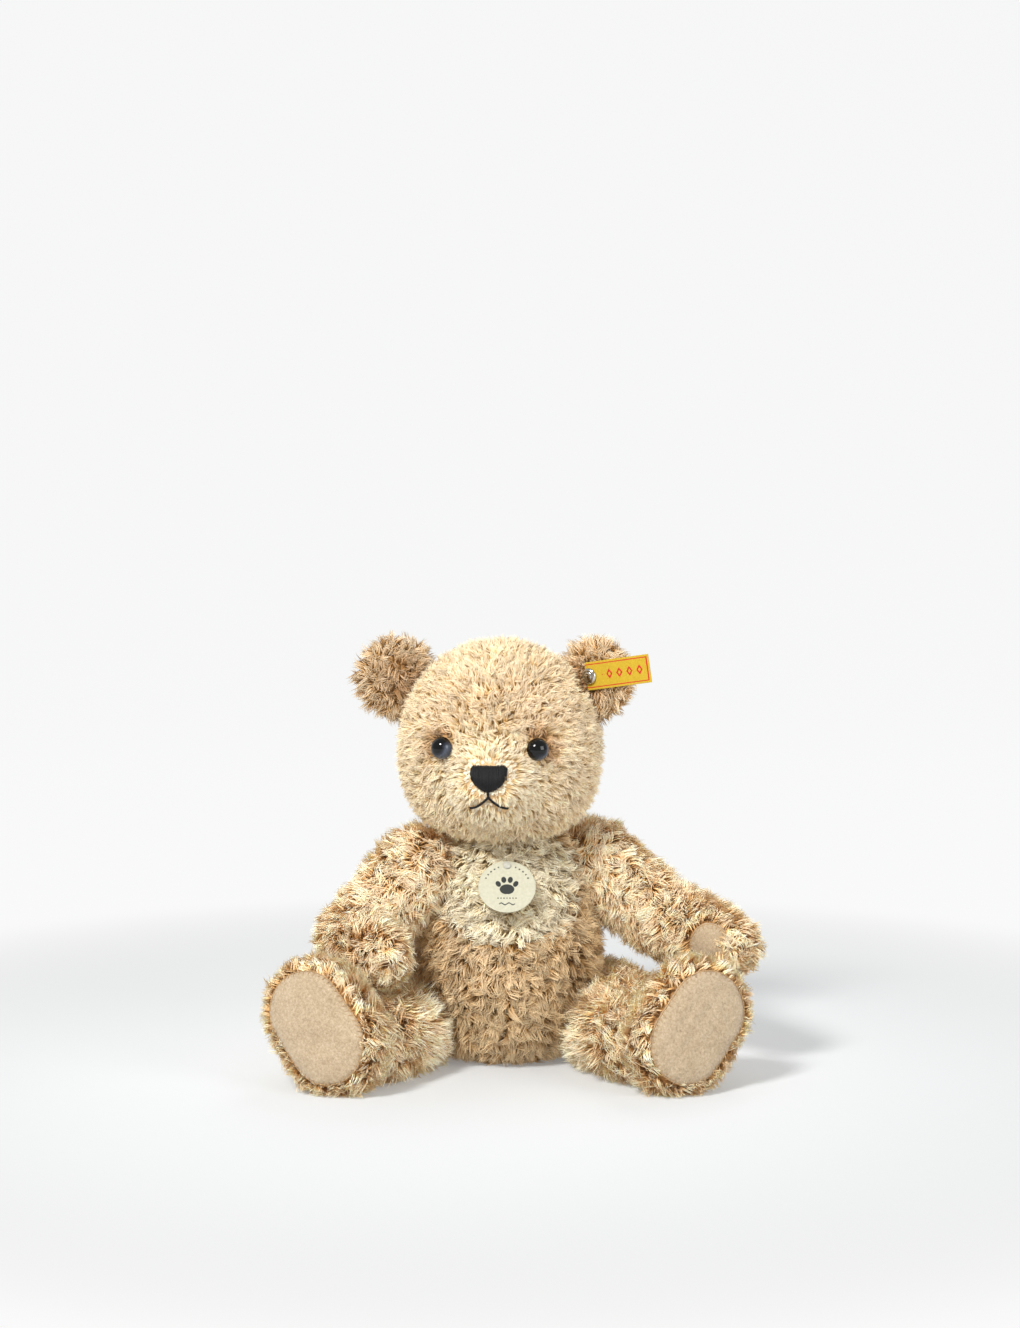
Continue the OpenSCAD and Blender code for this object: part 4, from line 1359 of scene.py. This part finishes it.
# the hole for the button's stem is hidden by the cap
arch = 0.35 * np.sin((X + 4) / 40 * math.pi * 1.3) + 0.10 * np.sin(X * 0.5 + Y * 0.3)
weave = 0.045 * np.sin(X * 2 * math.pi / 0.62) * np.sin(Y * 2 * math.pi / 0.62)
top = np.stack([X, Y, 0.62 + arch * 0.4 + weave], -1).reshape(-1, 3)
bot = np.stack([X, Y, 0.05 + arch * 0.4 + weave], -1).reshape(-1, 3)
shrink = np.where(X < -1, 1 - 0.35 * ((-1 - X) / 2.6) ** 2, 1)
for a_ in (top, bot):
    a_[:, 1] *= shrink.reshape(-1)
v = np.vstack([top, bot])
f = []
for i in range(ny - 1):
    for j in range(nx - 1):
        a, b, c_, d = i * nx + j, i * nx + j + 1, (i + 1) * nx + j + 1, (i + 1) * nx + j
        f.append((a, b, c_, d))
        k0 = nx * ny
        f.append((k0 + a, k0 + d, k0 + c_, k0 + b))
k0 = nx * ny
for j in range(nx - 1):
    f.append((j, k0 + j, k0 + j + 1, j + 1))
    e = (ny - 1) * nx + j
    f.append((e, e + 1, k0 + e + 1, k0 + e))
for i in range(ny - 1):
    a, d = i * nx, (i + 1) * nx
    f.append((a, d, k0 + d, k0 + a))
    a, d = i * nx + nx - 1, (i + 1) * nx + nx - 1
    f.append((a, k0 + a, k0 + d, d))
ob = mesh_from("ear_ribbon_weave", xf(FLAG, v), f)
bx, by = np.tile(X.reshape(-1), 2), np.tile(Y.reshape(-1), 2)
edge = np.minimum(7.25 - np.abs(by), 36 - bx)
band = ((edge > 1.0) & (edge < 1.7)).astype(float)
# small diamonds in a row, as plain woven ornament
ctr = np.round((bx - 12) / 6.0) * 6.0 + 12
dia = (np.abs(bx - ctr) / 1.9 + np.abs(by) / 2.6 < 1) & (bx > 7.5) & (bx < 33)
dot = (np.abs(bx - ctr) / 0.9 + np.abs(by) / 1.2 < 1)
band = np.maximum(band, (dia & ~dot).astype(float))
at = ob.data.attributes.new("Band", "FLOAT", "POINT")
at.data.foreach_set("value", band.astype(np.float32))
ob.data.materials.append(M["ribbon"])
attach(ob, "ear_ribbon")
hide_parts("ear_tag")


# chest tag: a thin card, gently bowed, with a printed ring and a paw print
def card_mat():
    m = Mat("tag_card", 0.55, 0.35)
    n = m.noise(700, 5)
    col = m.ramp(n, [(0.3, tuple(lin(184, 183, 162))), (0.7, tuple(lin(199, 197, 177)))])
    at = m.node("ShaderNodeAttribute", attribute_name="Ink")
    mix = m.node("ShaderNodeMix", data_type="RGBA")
    m.link(at.outputs["Fac"], mix.inputs["Factor"])
    m.link(col, mix.inputs["A"])
    mix.inputs["B"].default_value = (*lin(40, 44, 42), 1)
    m.base(mix.outputs["Result"])
    return m.m


M["card"] = card_mat()
rings_, segs_ = 110, 220
RR = np.linspace(0.02, TAG_R, rings_)
AA = np.linspace(0, 2 * math.pi, segs_, endpoint=False)
rr, aa = np.meshgrid(RR, AA, indexing="ij")
cx, cy = rr * np.cos(aa), rr * np.sin(aa)
right = np.cross(TAG_UP, TAG_N)
bow = -0.12 * (cx / TAG_R) ** 2 - 0.08 * (cy / TAG_R) ** 2
edge = np.where(rr > TAG_R - 0.3, 0.12, 0)


def card_pts(h):
    return TAG_C + cx[..., None] * right + cy[..., None] * TAG_UP + h[..., None] * TAG_N


top, bot = card_pts(0.38 + bow - edge), card_pts(-0.38 + bow + edge)
v = np.vstack([top.reshape(-1, 3), bot.reshape(-1, 3)])
f = []
k0 = rings_ * segs_
for i in range(rings_ - 1):
    for j in range(segs_):
        j2 = (j + 1) % segs_
        a, b, c_, d = i * segs_ + j, (i + 1) * segs_ + j, (i + 1) * segs_ + j2, i * segs_ + j2
        f.append((a, b, c_, d))
        f.append((k0 + a, k0 + d, k0 + c_, k0 + b))
for j in range(segs_):
    j2 = (j + 1) % segs_
    e = (rings_ - 1) * segs_
    f.append((e + j, k0 + e + j, k0 + e + j2, e + j2))
f.append(tuple(range(segs_)))
f.append(tuple(k0 + j for j in range(segs_))[::-1])
ob = mesh_from("chest_tag_card", v, f)


def disc_in(x, y, a, b, rot_=0.0, ox=0.0, oy=0.0):
    c_, s_ = math.cos(rot_), math.sin(rot_)
    u = (x - ox) * c_ + (y - oy) * s_
    w = -(x - ox) * s_ + (y - oy) * c_
    return (u / a) ** 2 + (w / b) ** 2 < 1


ink = disc_in(cx, cy, 3.7, 2.8, 0, 0, -1.6)
for ox, oy, r_ in ((-4.4, 1.4, 0.5), (-1.65, 3.7, 0.15), (1.65, 3.7, -0.15), (4.4, 1.4, -0.5)):
    ink |= disc_in(cx, cy, 1.25, 1.75, r_, ox, oy)
for q in range(13):
    a_ = math.radians(24 + 11 * q)
    if abs(math.degrees(a_) - 90) < 16:
        continue
    ink |= disc_in(cx, cy, 0.45, 0.45, 0, 11.6 * math.cos(a_), 11.6 * math.sin(a_))
for q in range(-3, 4):
    ink |= disc_in(cx, cy, 0.38, 0.38, 0, 1.5 * q, -6.6)
ink |= (np.abs(cy + 9.8 - 0.5 * np.sin(cx * 1.6)) < 0.32) & (np.abs(cx) < 4.0)
inkv = np.concatenate([ink.reshape(-1).astype(float), np.zeros(k0)])
at = ob.data.attributes.new("Ink", "FLOAT", "POINT")
at.data.foreach_set("value", inkv.astype(np.float32))
ob.data.materials.append(M["card"])
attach(ob, "chest_card")
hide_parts("chest_tag")
say("hard parts done")

# --------------------------------------------------------------------------
# floor, light, camera
# --------------------------------------------------------------------------
cyc_v, cyc_f = [], []
prof = [(-3.5, 0.0), (1.2, 0.0)]
for i in range(1, 13):
    a = i / 12 * math.pi / 2
    prof.append((1.2 + 0.9 * math.sin(a), 0.9 - 0.9 * math.cos(a)))
prof.append((2.1, 4.0))
for i, (y, z) in enumerate(prof):
    cyc_v += [(-4000, y * 1000, z * 1000), (4000, y * 1000, z * 1000)]
    if i:
        cyc_f.append((2 * i - 2, 2 * i - 1, 2 * i + 1, 2 * i))
floor = mesh_from("studio_floor", cyc_v, cyc_f)
fm = Mat("studio_paper", 0.9, 0.05)
nf = fm.noise(3, 2)
sepf = fm.node("ShaderNodeVectorMath", operation="LENGTH")
fm.link(fm.coord(), sepf.inputs[0])
nearf = fm.node("ShaderNodeMapRange", interpolation_type="SMOOTHSTEP")
fm.link(sepf.outputs["Value"], nearf.inputs["Value"])
nearf.inputs["From Min"].default_value = 0.13
nearf.inputs["From Max"].default_value = 0.46
fm.base(fm.ramp(nearf.outputs["Result"], [(0.0, (0.548, 0.568, 0.588)), (1.0, (0.04, 0.04, 0.04))]))
fm.b.inputs["Emission Color"].default_value = (0.995, 1.0, 0.998, 1)
mapf = fm.node("ShaderNodeMapRange", interpolation_type="SMOOTHSTEP")
fm.link(sepf.outputs["Value"], mapf.inputs["Value"])
mapf.inputs["From Min"].default_value = 0.15
mapf.inputs["From Max"].default_value = 0.50
mapf.inputs["To Min"].default_value = 0.185
mapf.inputs["To Max"].default_value = 0.888
fm.link(mapf.outputs["Result"], fm.b.inputs["Emission Strength"])
floor.data.materials.append(fm.m)
floor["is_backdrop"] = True
# a round wall that closes the view from every side and lights nothing
wall_v, wall_f = [], []
for i, (r, z) in enumerate([(2.15, -0.001)] + [(2.15 + 0.85 * math.sin(a / 10 * math.pi / 2), 0.85 - 0.85 * math.cos(a / 10 * math.pi / 2)) for a in range(1, 11)] + [(3.0, 4.0)]):
    wall_v += [(r * 1000 * math.cos(a / 72 * 2 * math.pi), r * 1000 * math.sin(a / 72 * 2 * math.pi), z * 1000) for a in range(72)]
    if i:
        wall_f += [((i - 1) * 72 + a, (i - 1) * 72 + (a + 1) % 72, i * 72 + (a + 1) % 72, i * 72 + a) for a in range(72)]
wall = mesh_from("studio_wall", wall_v, wall_f)
wall.data.materials.append(fm.m)
for flag_ in ("visible_diffuse", "visible_glossy", "visible_transmission", "visible_volume_scatter", "visible_shadow"):
    setattr(wall, flag_, False)
wall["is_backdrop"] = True

world = bpy.data.worlds.new("studio")
scene.world = world
world.use_nodes = True
bg = world.node_tree.nodes["Background"]
bg.inputs["Color"].default_value = (1.0, 0.98, 0.945, 1)
bg.inputs["Strength"].default_value = 0.46


def area(name, loc, target, size, power, color=(1, 1, 1)):
    d = bpy.data.lights.new(name, "AREA")
    d.shape = "SQUARE"
    d.size = size
    d.energy = power
    d.color = color
    o = bpy.data.objects.new(name, d)
    scene.collection.objects.link(o)
    o.location = loc
    o.rotation_mode = "QUATERNION"
    o.rotation_quaternion = (Vector(target) - Vector(loc)).to_track_quat("-Z", "Y")
    o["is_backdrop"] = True
    return o


area("key", (-0.8, -1.3, 1.5), (0, 0, 0.1), 0.42, 41, (1.0, 0.975, 0.94))
area("fill", (1.4, -1.2, 0.7), (0, 0, 0.1), 0.9, 11.5, (0.99, 0.99, 1.0))
area("back", (0.5, 1.0, 1.5), (0, 0, 0.1), 0.8, 5, (1, 1, 1))

cam_d = bpy.data.cameras.new("camera")
cam = bpy.data.objects.new("camera", cam_d)
scene.collection.objects.link(cam)
cam_d.lens = 78.2
cam_d.sensor_width = 36
cam_d.clip_start, cam_d.clip_end = 0.05, 30
cam.location = (0, -1.4815, 0.3397)
cam.rotation_euler = (math.radians(90 - 5.252), 0, math.radians(-0.06))
scene.camera = cam
cam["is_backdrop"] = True
scene.view_settings.view_transform = "Standard"
scene.view_settings.look = "None"
scene.render.film_transparent = False

SIZE1 = [list(map(float, v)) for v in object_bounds()]
say("size", SIZE0, SIZE1)
